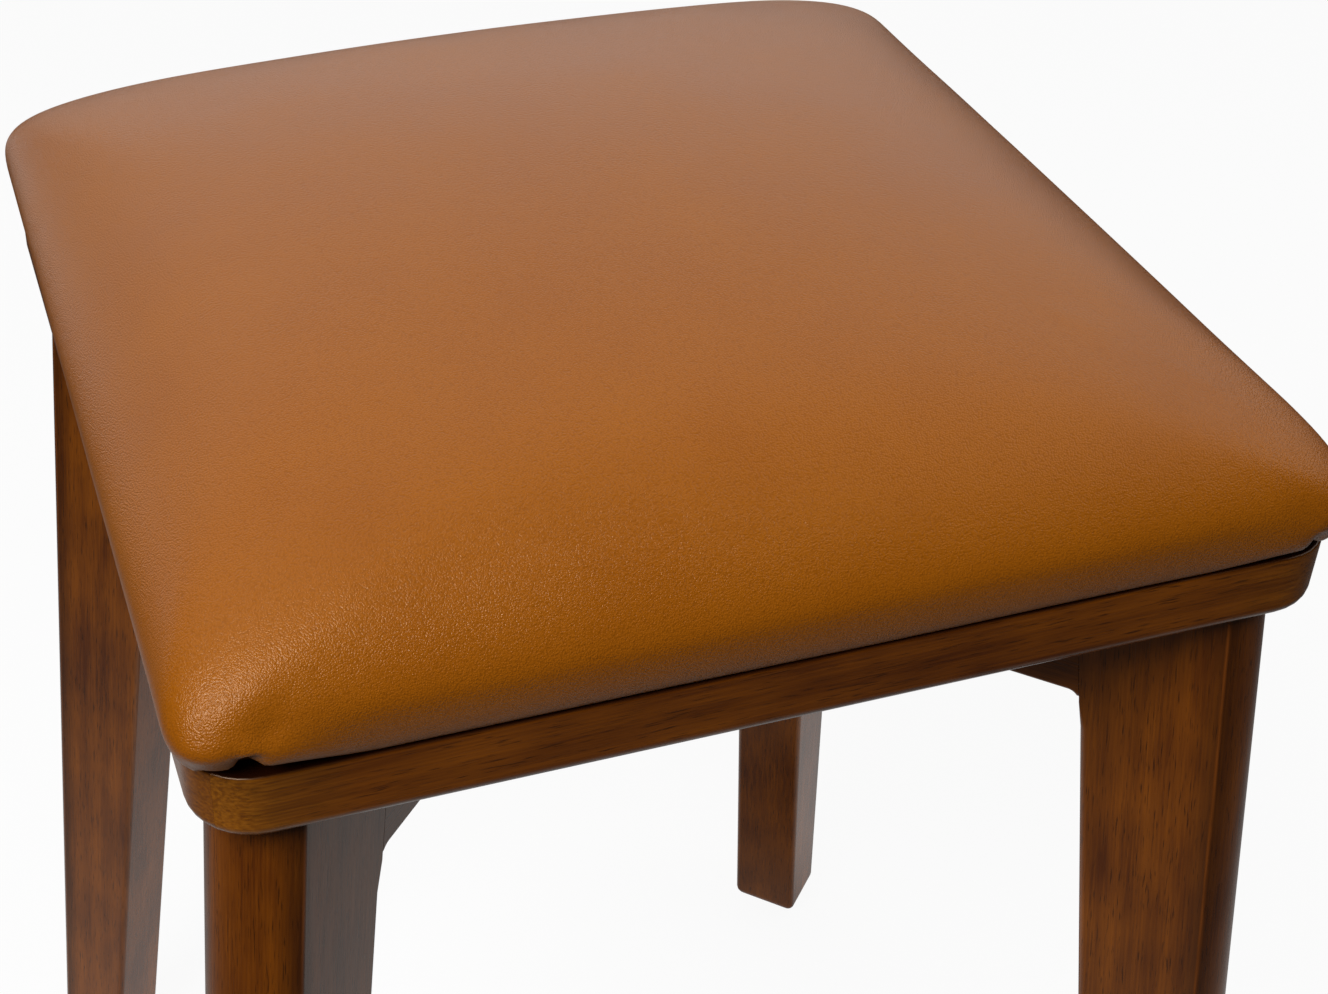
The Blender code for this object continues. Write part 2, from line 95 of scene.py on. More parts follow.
class Place(Enum):
    """A place round the seat, with the turn about +Z that carries a piece there."""

    @property
    def label(self) -> str:
        """Name of the place as the nodes spell it."""
        return self.name.lower()

    @property
    def turn(self) -> Matrix:
        """Rotation that carries a piece to this place."""
        return Matrix.Rotation(math.radians(self.value), 4, "Z")

    def heart(self, middle: Pair, drift: Pair) -> Pair:
        """Where the heart of the tree lies beside a piece here, drifting a millimetre in so many degrees."""
        return middle[0] + self.value / drift[0], middle[1] + self.value / drift[1]


class Corner(Place):
    """Corners of the seat, for pieces that are drawn on +X."""

    FRONT_LEFT = -135
    FRONT_RIGHT = -45
    REAR_RIGHT = 45
    REAR_LEFT = 135


class Side(Place):
    """Sides of the seat, for pieces that are drawn at the front."""

    FRONT = 0
    RIGHT = 90
    REAR = 180
    LEFT = 270


class Lap(Enum):
    """Halves of the cross-lap, with the side of the lap's middle on which a notch's floor lies."""

    OVER = 1
    UNDER = -1


class Slot(Enum):
    """Material slots of the record that the modelled pieces belong to."""

    WOOD = "stained_wood"
    LEATHER = "tan_leather"
    FOAM = "foam"


class Rounded(Enum):
    """What a rounding is made on, as the bevel operator calls it."""

    EDGES = "EDGES"
    CORNERS = "VERTICES"


def linear(colour: str) -> Quad:
    """Linear red, green and blue of an sRGB hex value such as "#9A5909", with an alpha of 1."""
    shares = [int(colour[i : i + 2], 16) / 255 for i in (1, 3, 5)]
    return (*(s / 12.92 if s <= 0.04045 else ((s + 0.055) / 1.055) ** 2.4 for s in shares), 1.0)


def feed(tree: NodeTree, node: Node, inputs: dict) -> None:
    """Set inputs of a node.

    Args:
        tree: The node's tree.
        node: The node.
        inputs: Value or linked output socket for each input, by name or place.
    """
    for name, value in inputs.items():
        if isinstance(value, NodeSocket):
            tree.links.new(value, node.inputs[name])
        else:
            node.inputs[name].default_value = value


def add_node(
    tree: NodeTree, kind: str, out: str | int, inputs: dict | None = None, **settings: object
) -> NodeSocket:
    """Add a node with its settings, input values and links.

    Args:
        tree: The tree that the node goes into.
        kind: Type of the node, without its first word ShaderNode.
        out: Name or place of the output that is wanted.
        inputs: Value or linked output socket for each input, by name or place.
        settings: Properties of the node.

    Returns:
        The output socket.
    """
    node = tree.nodes.new("ShaderNode" + kind)
    for name, value in settings.items():
        setattr(node, name, value)
    feed(tree, node, inputs or {})
    return node.outputs[out]


def layer_colours(tree: NodeTree, lowest: str, *layers: tuple[NodeSocket, str]) -> NodeSocket:
    """Lay colours over one another.

    Args:
        tree: Tree of the material.
        lowest: The lowest colour.
        layers: Share and colour of each that lies over it, in order.

    Returns:
        The colour that shows.
    """
    shown: NodeSocket | tuple[float, ...] = linear(lowest)
    for share, colour in layers:
        inputs = {MIX_FACTOR: share, MIX_A: shown, MIX_B: linear(colour)}
        shown = add_node(tree, "Mix", MIX_RESULT, inputs, data_type="RGBA")
    return shown


def new_surface(name: str) -> tuple[Material, NodeTree, Node]:
    """Start a material.

    Args:
        name: Name of the material.

    Returns:
        The material, its tree and its Principled shader.
    """
    material = bpy.data.materials.new(name)
    material.use_nodes = True
    tree = material.node_tree
    return material, tree, tree.nodes["Principled BSDF"]


def smoothstep(low: float, high: float, value: float) -> float:
    """Share from 0 at low to 1 at high, which may lie below low, with soft ends."""
    share = min(max((value - low) / (high - low), 0.0), 1.0)
    return share * share * (3 - 2 * share)


def bell(distance: float, width: float) -> float:
    """Share that falls softly from 1 at no distance to about a third at the width."""
    return math.exp(-((distance / width) ** 2))


def make_piece(name: str, bm: BMesh, material: Material) -> Object:
    """Turn a bmesh into a smooth-shaded piece that sits at the origin.

    Args:
        name: Name of the piece.
        bm: Its mesh, which is freed.
        material: Its finish.

    Returns:
        The piece.
    """
    mesh = bpy.data.meshes.new(name)
    bm.to_mesh(mesh)
    bm.free()
    mesh.shade_smooth()
    mesh.materials.append(material)
    piece = bpy.data.objects.new(name, mesh)
    bpy.context.scene.collection.objects.link(piece)
    return piece


def apply_modifiers(piece: Object) -> None:
    """Replace a piece's mesh by what its modifiers make of it.

    Args:
        piece: The piece, which has no modifiers afterwards.
    """
    graph = bpy.context.evaluated_depsgraph_get()
    mesh = bpy.data.meshes.new_from_object(
        piece.evaluated_get(graph), preserve_all_data_layers=True, depsgraph=graph
    )
    old = piece.data
    piece.modifiers.clear()
    piece.data = mesh
    bpy.data.meshes.remove(old)
    mesh.name = piece.name


def cut_away(piece: Object, cutter: BMesh) -> None:
    """Cut a closed shape out of a piece.

    Args:
        piece: The piece.
        cutter: The shape's mesh, which is freed.
    """
    tool = make_piece("cutter", cutter, piece.data.materials[0])
    step = piece.modifiers.new("cut", "BOOLEAN")
    step.operation = "DIFFERENCE"
    step.solver = "EXACT"
    step.use_self = True
    step.object = tool
    apply_modifiers(piece)
    bpy.data.objects.remove(tool)


def split(bm: BMesh, point: Vector, normal: Vector, clear: bool = False) -> None:
    """Split a mesh along a plane, and clear the side that the normal points to where that is asked for."""
    whole = bm.verts[:] + bm.edges[:] + bm.faces[:]
    bmesh.ops.bisect_plane(bm, geom=whole, plane_co=point, plane_no=normal, clear_outer=clear)


def round_off(
    bm: BMesh, geom: list, reach: float, steps: int, kind: Rounded = Rounded.EDGES
) -> list[BMVert]:
    """Round some edges or corners.

    Args:
        bm: The mesh.
        geom: The edges, or the points at the corners.
        reach: How far along its sides each one is rounded.
        steps: Facets of a rounding.
        kind: Which of the two they are.

    Returns:
        The points of the roundings.
    """
    return bmesh.ops.bevel(
        bm,
        geom=geom,
        offset=reach,
        segments=steps,
        profile=0.5,
        affect=kind.value,
        clamp_overlap=True,
        material=-1,
    )["verts"]


def quarter_round(radius: float, steps: int) -> list[Pair]:
    """How far along one side, and how far in from the other, each step of a rounded edge lies."""
    angles = [QUARTER * i / steps for i in range(steps + 1)]
    return [(radius * (1 - math.cos(angle)), radius * (1 - math.sin(angle))) for angle in angles]


def fill_holes(bm: BMesh) -> None:
    """Fill the holes of a mesh."""
    bmesh.ops.holes_fill(bm, edges=[edge for edge in bm.edges if edge.is_boundary])


def skin(bm: BMesh, loops: list[list[BMEdge]]) -> None:
    """Skin a mesh over its outlines, and close both ends.

    Args:
        bm: The mesh.
        loops: Edges of each outline, in order.
    """
    for near, far in zip(loops, loops[1:]):
        bmesh.ops.bridge_loops(bm, edges=near + far)
    fill_holes(bm)
    bmesh.ops.recalc_face_normals(bm, faces=bm.faces)


def stand_in(piece: Object, slot: Slot, *nodes: str) -> None:
    """Fix a piece to the stool in place of its solids.

    Args:
        piece: The piece.
        slot: Material slot that its finish belongs to; not used.
        nodes: Solids that it stands for.
    """
    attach(piece, ROOT_BODY)
    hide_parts(*nodes)
    LOG.info("%s: %d faces, stands for %s", piece.name, len(piece.data.polygons), ", ".join(nodes))


def fix_wood(piece: Object, node: str) -> None:
    """Fix a wooden piece to the stool, with hard edges and with flat faces beside small roundings.

    Args:
        piece: The piece.
        node: Solid that it stands for.
    """
    piece.data.set_sharp_from_angle(angle=SMOOTH_ANGLE)
    step = piece.modifiers.new("crisp_edges", "WEIGHTED_NORMAL")
    step.keep_sharp = True
    stand_in(piece, Slot.WOOD, node)


@dataclass(frozen=True)
class Timber:
    """Wood of any kind: coordinates along its grain, and patterns drawn out along it."""

    name: str
    grain: Vector

    def along_grain(self, tree: NodeTree) -> NodeSocket:
        """Coordinates turned so that the grain runs along Z.

        Args:
            tree: Tree of the material.

        Returns:
            The coordinates, in metres.
        """
        place = add_node(tree, "TexCoord", "Object")
        turn = UP.rotation_difference(self.grain).to_euler()
        return add_node(tree, "Mapping", "Vector", {"Vector": place, "Rotation": turn}, vector_type="TEXTURE")

    def fibres(self, tree: NodeTree, place: NodeSocket, size_mm: Pair, detail: float) -> NodeSocket:
        """Noise drawn out along the grain.

        Args:
            tree: Tree of the material.
            place: Coordinates with the grain along Z.
            size_mm: Width and length of its spots.
            detail: How much finer noise is mixed in.

        Returns:
            The noise, from 0 to 1.
        """
        wide, long = (1 / (size * MILLIMETRE) for size in size_mm)
        spots = (wide, wide, long)
        scaled = add_node(tree, "VectorMath", "Vector", {0: place, 1: spots}, operation="MULTIPLY")
        return add_node(tree, "TexNoise", "Fac", {"Vector": scaled, "Scale": 1.0, "Detail": detail})


@dataclass(frozen=True)
class LacqueredWood(Timber):
    """Rubberwood, dyed walnut brown and sprayed with semi-gloss lacquer.

    The dye soaks in unevenly, so golden and dark patches drift along the grain. Fine fibres and a few
    dark open pores run through them. Layers of the points paint shade beside the legs' sharp edges and on
    the rails' tops, paint the legs' edges paler as a painted highlight, and paint the rails' ends paler,
    from sanding and partly as painted light. The lacquer lies smooth on top, with a trace of amber.

    Attributes:
        heart: Where the heart of the tree lies beside the piece, across the grain, in millimetres.
        details: How much finer noise the patches, the fibres and the pores hold.
        shares: How much the patches, the fibres and the rings count in the tone.
        rub_map: How much of the painted highlight and of the paleness from sanding the fibres take.
        pore_dent: How deep the pores sink against the ripple of the lacquer.
        ring_stretch: How fast the rings change along the grain.
        ring_waver: How much the rings waver, in what detail and at what scale.
    """

    heart: Pair
    dark: str = "#552503"
    light: str = "#8E4C09"
    pore: str = "#2A1003"
    worn: str = "#96501A"
    amber: str = "#FFDDBE"
    ring_mm: float = 8.0
    patch_mm: Pair = (15.0, 36.0)
    fibre_mm: Pair = (0.6, 24.0)
    pore_mm: Pair = (0.38, 6.0)
    ripple_mm: float = 9.0
    ripple_detail: float = 1.0
    details: Triple = (2.0, 2.5, 1.0)
    shares: Triple = (1.5, 1.15, 0.22)
    pore_map: Quad = (0.6, 0.74, 0.0, 0.75)
    rub_map: Quad = (0.3, 0.7, 0.4, 1.6)
    gloss_map: Quad = (0.0, 1.0, 0.31, 0.21)
    pore_dent: float = 0.2
    relief: Pair = (0.5, 0.06 * MILLIMETRE)
    ring_stretch: float = 0.08
    ring_waver: Triple = (3.0, 2.0, 0.8)

    def material(self) -> Material:
        """Make the material.

        Returns:
            The material.
        """
        material, tree, shader = new_surface(self.name)
        place = self.along_grain(tree)
        patches, fibres, pores = (
            self.fibres(tree, place, size, detail)
            for size, detail in zip((self.patch_mm, self.fibre_mm, self.pore_mm), self.details)
        )
        # Each pattern is centred on a half, and so is their sum
        tone: NodeSocket | float = (1 - sum(self.shares)) / 2
        for pattern, share in zip((patches, fibres, self.rings(tree, place)), self.shares):
            tone = add_node(tree, "Math", "Value", {0: pattern, 1: share, 2: tone}, operation="MULTIPLY_ADD")
        dashes, light_and_wear_grain, gloss = (
            add_node(tree, "MapRange", "Result", dict(zip(MAP_SOCKETS, (value, *span))))
            for value, span in ((pores, self.pore_map), (fibres, self.rub_map), (fibres, self.gloss_map))
        )
        # Layers of the points paint shade and paler painted light; on the rails' ends the paleness is partly
        # sanding
        stained, worn = (add_node(tree, "Attribute", "Fac", attribute_name=layer) for layer in LAYERS)
        rubbed = add_node(tree, "Math", "Value", {0: worn, 1: light_and_wear_grain}, operation="MULTIPLY")
        layers = ((tone, self.light), (dashes, self.pore), (stained, self.pore), (rubbed, self.worn))
        spots = {"Vector": place, "Scale": 1 / (self.ripple_mm * MILLIMETRE), "Detail": self.ripple_detail}
        sums = {0: dashes, 1: -self.pore_dent, 2: add_node(tree, "TexNoise", "Fac", spots)}
        height = add_node(tree, "Math", "Value", sums, operation="MULTIPLY_ADD")
        surface = {
            "Base Color": layer_colours(tree, self.dark, *layers),
            "Roughness": gloss,
            "IOR": LACQUER_IOR,
            "Specular Tint": linear(self.amber),
            "Normal": add_node(tree, "Bump", "Normal", dict(zip(BUMP_SOCKETS, (height, *self.relief)))),
        }
        feed(tree, shader, surface)
        return material

    def rings(self, tree: NodeTree, place: NodeSocket) -> NodeSocket:
        """Growth rings round the heart, drawn out along the grain.

        Args:
            tree: Tree of the material.
            place: Coordinates with the grain along Z.

        Returns:
            Height of the ring pattern, from 0 to 1.
        """
        offset = Vector((*self.heart, 0)) * MILLIMETRE
        inputs = {"Vector": place, "Location": offset, "Scale": (1, 1, self.ring_stretch)}
        centred = add_node(tree, "Mapping", "Vector", inputs)
        # One unit of a wave texture holds 20 radians of the wave
        inputs = {"Vector": centred, "Scale": math.tau / 20 / (self.ring_mm * MILLIMETRE)}
        inputs |= zip(("Distortion", "Detail", "Detail Scale"), self.ring_waver)
        return add_node(tree, "TexWave", "Fac", inputs, wave_type="RINGS", rings_direction="Z")


@dataclass(frozen=True)
class PlainWood(Timber):
    """Bare sanded wood: beech for dowels and splines, birch for the plywood board.

    Pale, dry and matt, with soft streaks along the grain and short darker flecks.
    """

    pale: str
    streak: str
    fleck_mm: Pair
    detail: float = 3.0
    roughness: float = 0.7
    relief: Pair = (0.4, 0.1 * MILLIMETRE)

    def material(self) -> Material:
        """Make the material.

        Returns:
            The material.
        """
        material, tree, shader = new_surface(self.name)
        flecks = self.fibres(tree, self.along_grain(tree), self.fleck_mm, self.detail)
        colour = layer_colours(tree, self.pale, (flecks, self.streak))
        bump = add_node(tree, "Bump", "Normal", dict(zip(BUMP_SOCKETS, (flecks, *self.relief))))
        feed(tree, shader, {"Base Color": colour, "Roughness": self.roughness, "Normal": bump})
        return material


@dataclass(frozen=True)
class TanLeather:
    """Corrected-grain cowhide, dyed tan and plated with a fine pebble grain.

    Small rounded pebbles break up the soft sheen, with painted shade in the valleys between them, and the
    dye lies a little unevenly over the hide.

    Attributes:
        softness: How softly the pebbles run into one another.
        wrinkled: How much the wrinkles count against the pebbles.
    """

    name: str = "tan_leather"
    dye: str = "#A75F0A"
    deep: str = "#995307"
    crease: str = "#804404"
    glint: str = "#FFDFBC"
    pebble_mm: float = 0.42
    softness: float = 0.6
    wrinkle_mm: float = 0.3
    cloud_mm: float = 38.0
    detail: float = 2.0
    crease_map: Quad = (0.35, 0.75, 0.0, 0.45)
    sheen_map: Quad = (0.0, 1.0, 0.25, 0.35)
    wrinkled: float = 0.6
    relief: Pair = (0.55, 0.25 * MILLIMETRE)

    def material(self) -> Material:
        """Make the material.

        Returns:
            The material.
        """
        material, tree, shader = new_surface(self.name)
        place = add_node(tree, "TexCoord", "Object")
        finer = {"Vector": place, "Detail": self.detail}
        wrinkles, clouds = (
            add_node(tree, "TexNoise", "Fac", {"Scale": 1 / (size * MILLIMETRE), **finer})
            for size in (self.wrinkle_mm, self.cloud_mm)
        )
        cells = {"Vector": place, "Scale": 1 / (self.pebble_mm * MILLIMETRE), "Smoothness": self.softness}
        pebbles = add_node(tree, "TexVoronoi", "Distance", cells, feature="SMOOTH_F1")
        # Painted shade darkens the valleys between the pebbles
        crease_shades, sheen = (
            add_node(tree, "MapRange", "Result", dict(zip(MAP_SOCKETS, (value, *span))))
            for value, span in ((pebbles, self.crease_map), (clouds, self.sheen_map))
        )
        sums = {0: wrinkles, 1: -self.wrinkled, 2: pebbles}
        grain = add_node(tree, "Math", "Value", sums, operation="MULTIPLY_ADD")
        relief = dict(zip(BUMP_SOCKETS, (grain, *self.relief)))
        surface = {
            "Base Color": layer_colours(tree, self.deep, (clouds, self.dye), (crease_shades, self.crease)),
            "Roughness": sheen,
            "IOR": LACQUER_IOR,
            "Specular Tint": linear(self.glint),
            "Normal": add_node(tree, "Bump", "Normal", relief, invert=True),
        }
        feed(tree, shader, surface)
        return material


@dataclass(frozen=True)
class ZincSteel:
    """Bright zinc plating on a pressed steel screw: a bluish grey metal with a fine spangle."""

    name: str = "zinc_plated_steel"
    pale: str = "#D9DADB"
    dull: str = "#B4B6B8"
    spangle_mm: float = 0.7
    detail: float = 2.0
    polish_map: Quad = (0.0, 1.0, 0.28, 0.42)

    def material(self) -> Material:
        """Make the material.

        Returns:
            The material.
        """
        material, tree, shader = new_surface(self.name)
        place = add_node(tree, "TexCoord", "Object")
        scale = 1 / (self.spangle_mm * MILLIMETRE)
        spangle = add_node(tree, "TexNoise", "Fac", {"Vector": place, "Scale": scale, "Detail": self.detail})
        colour = layer_colours(tree, self.pale, (spangle, self.dull))
        polish = add_node(tree, "MapRange", "Result", dict(zip(MAP_SOCKETS, (spangle, *self.polish_map))))
        feed(tree, shader, {"Base Color": colour, "Roughness": polish, "Metallic": 1.0})
        return material


@dataclass(frozen=True)
class SeatFoam:
    """Cut polyurethane foam: cream, matt and open-celled."""

    name: str = "seat_foam"
    cream: str = "#E9DEBB"
    shade: str = "#CDBE92"
    cell_mm: float = 1.2
    roughness: float = 0.95
    relief: Pair = (0.6, 0.4 * MILLIMETRE)

    def material(self) -> Material:
        """Make the material.

        Returns:
            The material.
        """
        material, tree, shader = new_surface(self.name)
        place = add_node(tree, "TexCoord", "Object")
        scale = 1 / (self.cell_mm * MILLIMETRE)
        cells = add_node(tree, "TexVoronoi", "Distance", {"Vector": place, "Scale": scale})
        colour = layer_colours(tree, self.shade, (cells, self.cream))
        bump = add_node(tree, "Bump", "Normal", dict(zip(BUMP_SOCKETS, (cells, *self.relief))))
        feed(tree, shader, {"Base Color": colour, "Roughness": self.roughness, "Normal": bump})
        return material


@dataclass
class SeatFrame:
    """The mitred frame under the cushion: one slab with eased edges, cut into four rails.

    Attributes:
        sanded: How far the left and the right end of a rail are painted paler, from sanding and partly as
            painted light.
        hidden_stain: How dark painted shade makes the unsanded top, which the cushion hides, so that the gap
            under the cushion looks dark.
        counterbore: Radius and depth of the recess that takes a screw's head.
        heart: Where the heart of the tree lies beside the front rail, in millimetres.
    """

    corner_radius: float = 0.016
    bottom_round: float = 0.004
    top_easing: float = 0.0008
    mitre_gap: float = 0.00003
    sanded: Pair = (0.42, 0.24)
    sanded_reach: float = 0.036
    sanded_colour: str = "#B06E1A"
    hidden_stain: float = 1.0
    bore: float = 0.0023
    counterbore: Pair = (0.0041, 0.0045)
    grain: Triple = (1, 0, 0.012)
    heart: Pair = (18, 40)
    heart_drift: Pair = (9, -7)
    round_steps: int = 8
    hole_steps: int = 32

    def __post_init__(self) -> None:
        """Read the frame's size from its front rail."""
        low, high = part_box("seat_rail_front")
        self.half, self.inner = -low.y, -high.y
        self.bottom, self.top = low.z, high.z

    def slab(self) -> BMesh:
        """The whole frame as one slab with rounded corners and eased edges.

        Returns:
            The slab's mesh.
        """
        bm = bmesh.new()
        size = Matrix.Diagonal((2 * self.half, 2 * self.half, self.top - self.bottom, 1))
        middle = Matrix.Translation((0, 0, (self.bottom + self.top) / 2))
        bmesh.ops.create_cube(bm, size=1, matrix=middle @ size)
        upright = [edge for edge in bm.edges if abs(edge.verts[0].co.z - edge.verts[1].co.z) > HAIR]
        round_off(bm, upright, self.corner_radius, self.round_steps)
        for level, radius in ((self.bottom, self.bottom_round), (self.top, self.top_easing)):
            rim = [edge for edge in bm.edges if all(abs(vert.co.z - level) < HAIR for vert in edge.verts)]
            round_off(bm, rim, radius, self.round_steps)
        return bm

    def rail(self) -> BMesh:
        """The front rail, cut from the slab along its mitres and its inner side.

        Returns:
            The rail's mesh.
        """
        bm = self.slab()
        cuts = [(Vector((0, -self.inner, 0)), Vector((0, 1, 0)))]
        for side in (-1, 1):
            normal = Vector((side, 1, 0)).normalized()
            cuts.append((-normal * self.mitre_gap / 2, normal))
        for point, normal in cuts:
            split(bm, point, normal, clear=True)
            fill_holes(bm)
        bmesh.ops.recalc_face_normals(bm, faces=bm.faces)
        self.sand(bm)
        return bm

    def sand(self, bm: BMesh) -> None:
        """Paint the front rail paler towards its two ends, from sanding and partly as painted light, and
        paint shade on its top.

        Args:
            bm: The rail's mesh, which is split where the paler part ends and halfway there.
        """
        left, right = self.sanded
        for share in (-1, -0.5, 0.5, 1):
            place = math.copysign(self.half - abs(share) * self.sanded_reach, share)
            split(bm, ACROSS * place, ACROSS)
        for layer in LAYERS:
            bm.verts.layers.float.new(layer)
        stain, light_and_wear = (bm.verts.layers.float[layer] for layer in LAYERS)
        for vert in bm.verts:
            # Painted shade on the top, which lies in the gap under the cushion
            shaded_top = smoothstep(self.top - self.top_easing, self.top, vert.co.z)
            vert[stain] = self.hidden_stain * shaded_top
            # The ends are painted paler, from sanding and partly as painted light on the rounded corners, the
            # left end more
            most = left if vert.co.x < 0 else right
            end = smoothstep(self.half - self.sanded_reach, self.half - self.bottom_round, abs(vert.co.x))
            vert[light_and_wear] = most * end * (1 - shaded_top)

    def screw_hole(self) -> BMesh:
        """The stepped hole for the front rail's screw.

        Returns:
            The hole's mesh.
        """
        bm = bmesh.new()
        wide, deep = self.counterbore
        place = Vector((0, -(self.half + self.inner) / 2, self.bottom))
        through = self.top - self.bottom + MILLIMETRE
        for radius, low, high in ((wide, -MILLIMETRE, deep), (self.bore, deep - MILLIMETRE, through)):
            bmesh.ops.create_cone(
                bm,
                cap_ends=True,
                segments=self.hole_steps,
                radius1=radius,
                radius2=radius,
                depth=high - low,
                matrix=Matrix.Translation(place + UP * (low + high) / 2),
            )
        return bm

    def build(self) -> None:
        """Make the four rails and fix them to the stool."""
        for side in Side:
            name = "rail_" + side.label
            finish = LacqueredWood(
                name=name + "_lacquered_wood",
                grain=side.turn.to_3x3() @ Vector(self.grain),
                heart=side.heart(self.heart, self.heart_drift),
                worn=self.sanded_colour,
            )
            rail, hole = self.rail(), self.screw_hole()
            for bm in (rail, hole):
                bm.transform(side.turn)
            piece = make_piece(name, rail, finish.material())
            cut_away(piece, hole)
            fix_wood(piece, "seat_" + name)


@dataclass
class Legs:
    """Four tapered legs on the seat's diagonals, each with a convex outer face and a rounded foot.

    Attributes:
        top_depth: Depth from the crest of the outer face to the inner face, at the top.
        crest_top: How far out the crest lies at the top.
        splay: How much further out it lies at the floor.
        bulge: How far the outer face stands out in its middle.
        square_zone: How far down from the top the inner edges stay square, where a brace meets them.
        runout: Height in which they turn from square to round.
        arris: Reach of the rounding on the two outer edges, which is painted paler as a painted highlight.
        stain_band: Width of the band of painted shade beside that rounding.
    """

    thickness: float = 0.027
    top_depth: float = 0.0432
    foot_depth: float = 0.0303
    crest_top: float = 0.18236
    splay: float = 0.049
    bulge: float = 0.0059
    inner_easing: float = 0.0022
    square_zone: float = 0.042
    runout: float = 0.0088
    arris: float = 0.0007
    rubbed: float = 0.55
    stain_band: float = 0.0065
    stained: float = 0.6
    foot_round: float = 0.0065
    heart: Pair = (30, 22)
    heart_drift: Pair = (8, -6)
    arc_steps: int = 20
    easing_steps: int = 4
    foot_steps: int = 6

    def __post_init__(self) -> None:
        """Read the leg's length, and find the radius of its outer face."""
        self.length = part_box("leg_front_left")[1].z
        self.arc_radius = ((self.thickness / 2) ** 2 + self.bulge**2) / (2 * self.bulge)

    def crest(self, height: float) -> float:
        """How far out the crest of the outer face lies at a height."""
        return self.crest_top + self.splay * (1 - height / self.length)

    def inner(self, height: float) -> float:
        """How far out the inner face lies at a height."""
        share = 1 - height / self.length
        return self.crest(height) - self.top_depth + (self.top_depth - self.foot_depth) * share

    def outline(self, bm: BMesh, height: float, inset: float, easing: float) -> list[BMEdge]:
        """Draw the leg's outline at one height.

        Args:
            bm: Mesh that it goes into, with a layer for the painted highlight on its vertices and no faces.
            height: Height above the floor.
            inset: How far its faces are moved in, at the rounded foot.
            easing: Radius of the two inner corners.

        Returns:
            The edges of the outline.
        """
        known = set(bm.verts)
        half = self.thickness / 2 - inset
        radius = self.arc_radius - inset
        spread = math.asin(half / radius)
        centre = Vector((self.crest(height) - self.arc_radius, 0, height))
        start = centre + Vector((math.cos(spread), -math.sin(spread), 0)) * radius
        first = bmesh.ops.create_vert(bm, co=start)["vert"]
        arc = bmesh.ops.spin(bm, geom=first, cent=centre, axis=UP, angle=2 * spread, steps=self.arc_steps)
        arrises = first + [item for item in arc["geom_last"] if isinstance(item, BMVert)]
        inner = self.inner(height) + inset
        places = [(inner, side * half, height) for side in (1, -1)]
        corners = [bmesh.ops.create_vert(bm, co=place)["vert"][0] for place in places]
        bmesh.ops.contextual_create(bm, geom=list(set(bm.verts) - known))
        edges_at = [vert.co.copy() for vert in arrises]
        round_off(bm, corners, easing, self.easing_steps, Rounded.CORNERS)
        # The rounded outer edges are painted paler: a painted highlight
        light_and_wear = bm.verts.layers.float[LIGHT_AND_WEAR_LAYER]
        for vert in round_off(bm, arrises, self.arris, self.easing_steps, Rounded.CORNERS):
            off = min((vert.co - edge).length for edge in edges_at)
            vert[light_and_wear] = self.rubbed * max(1 - off / self.arris, 0)
        outline = list(set(bm.faces[:][0].edges))
        bmesh.ops.delete(bm, geom=bm.faces[:], context="FACES_ONLY")
        return outline

    def leg(self) -> BMesh:
        """A leg on +X, skinned over its outlines.

        Returns:
            The leg's mesh.
        """
        bm = bmesh.new()
        bm.verts.layers.float.new(LIGHT_AND_WEAR_LAYER)
        foot = quarter_round(self.foot_round, self.foot_steps)
        levels = [(level, inset, self.inner_easing) for level, inset in foot]
        square_from = self.length - self.square_zone
        levels.append((square_from - self.runout, 0, self.inner_easing))
        levels += [(level, 0, HAIR) for level in (square_from, self.length)]
        skin(bm, [self.outline(bm, *level) for level in levels])
        self.stain(bm)
        return bm

    def stain(self, bm: BMesh) -> None:
        """Paint shade in a band beside the two outer edges.

        Args:
            bm: The leg's mesh, on +X, which is split where the bands end and halfway there.
        """
        edge_top = self.crest(self.length) - self.bulge
        across = Vector((self.length, 0, self.splay))
        for share in (0.5, 1.0):
            split(bm, Vector((edge_top - share * self.stain_band, 0, self.length)), across)
        layer = bm.verts.layers.float.new(SHADE_LAYER)
        for vert in bm.verts:
            inward = max(self.crest(vert.co.z) - self.bulge - vert.co.x, 0)
            sideways = max(self.thickness / 2 - abs(vert.co.y), 0)
            # The band's painted shade is darkest at the outer edges
            vert[layer] = self.stained * smoothstep(self.stain_band, 0, inward + sideways)

    def build(self) -> None:
        """Make the four legs and fix them to the stool."""
        lean = Vector((self.crest(0) - self.crest(self.length), 0, -self.length))
        for corner in Corner:
            node = "leg_" + corner.label
            finish = LacqueredWood(
                name=node + "_lacquered_wood",
                grain=corner.turn.to_3x3() @ lean,
                heart=corner.heart(self.heart, self.heart_drift),
            )
            bm = self.leg()
            bm.transform(corner.turn)
            fix_wood(make_piece(corner.label + "_leg", bm, finish.material()), node)


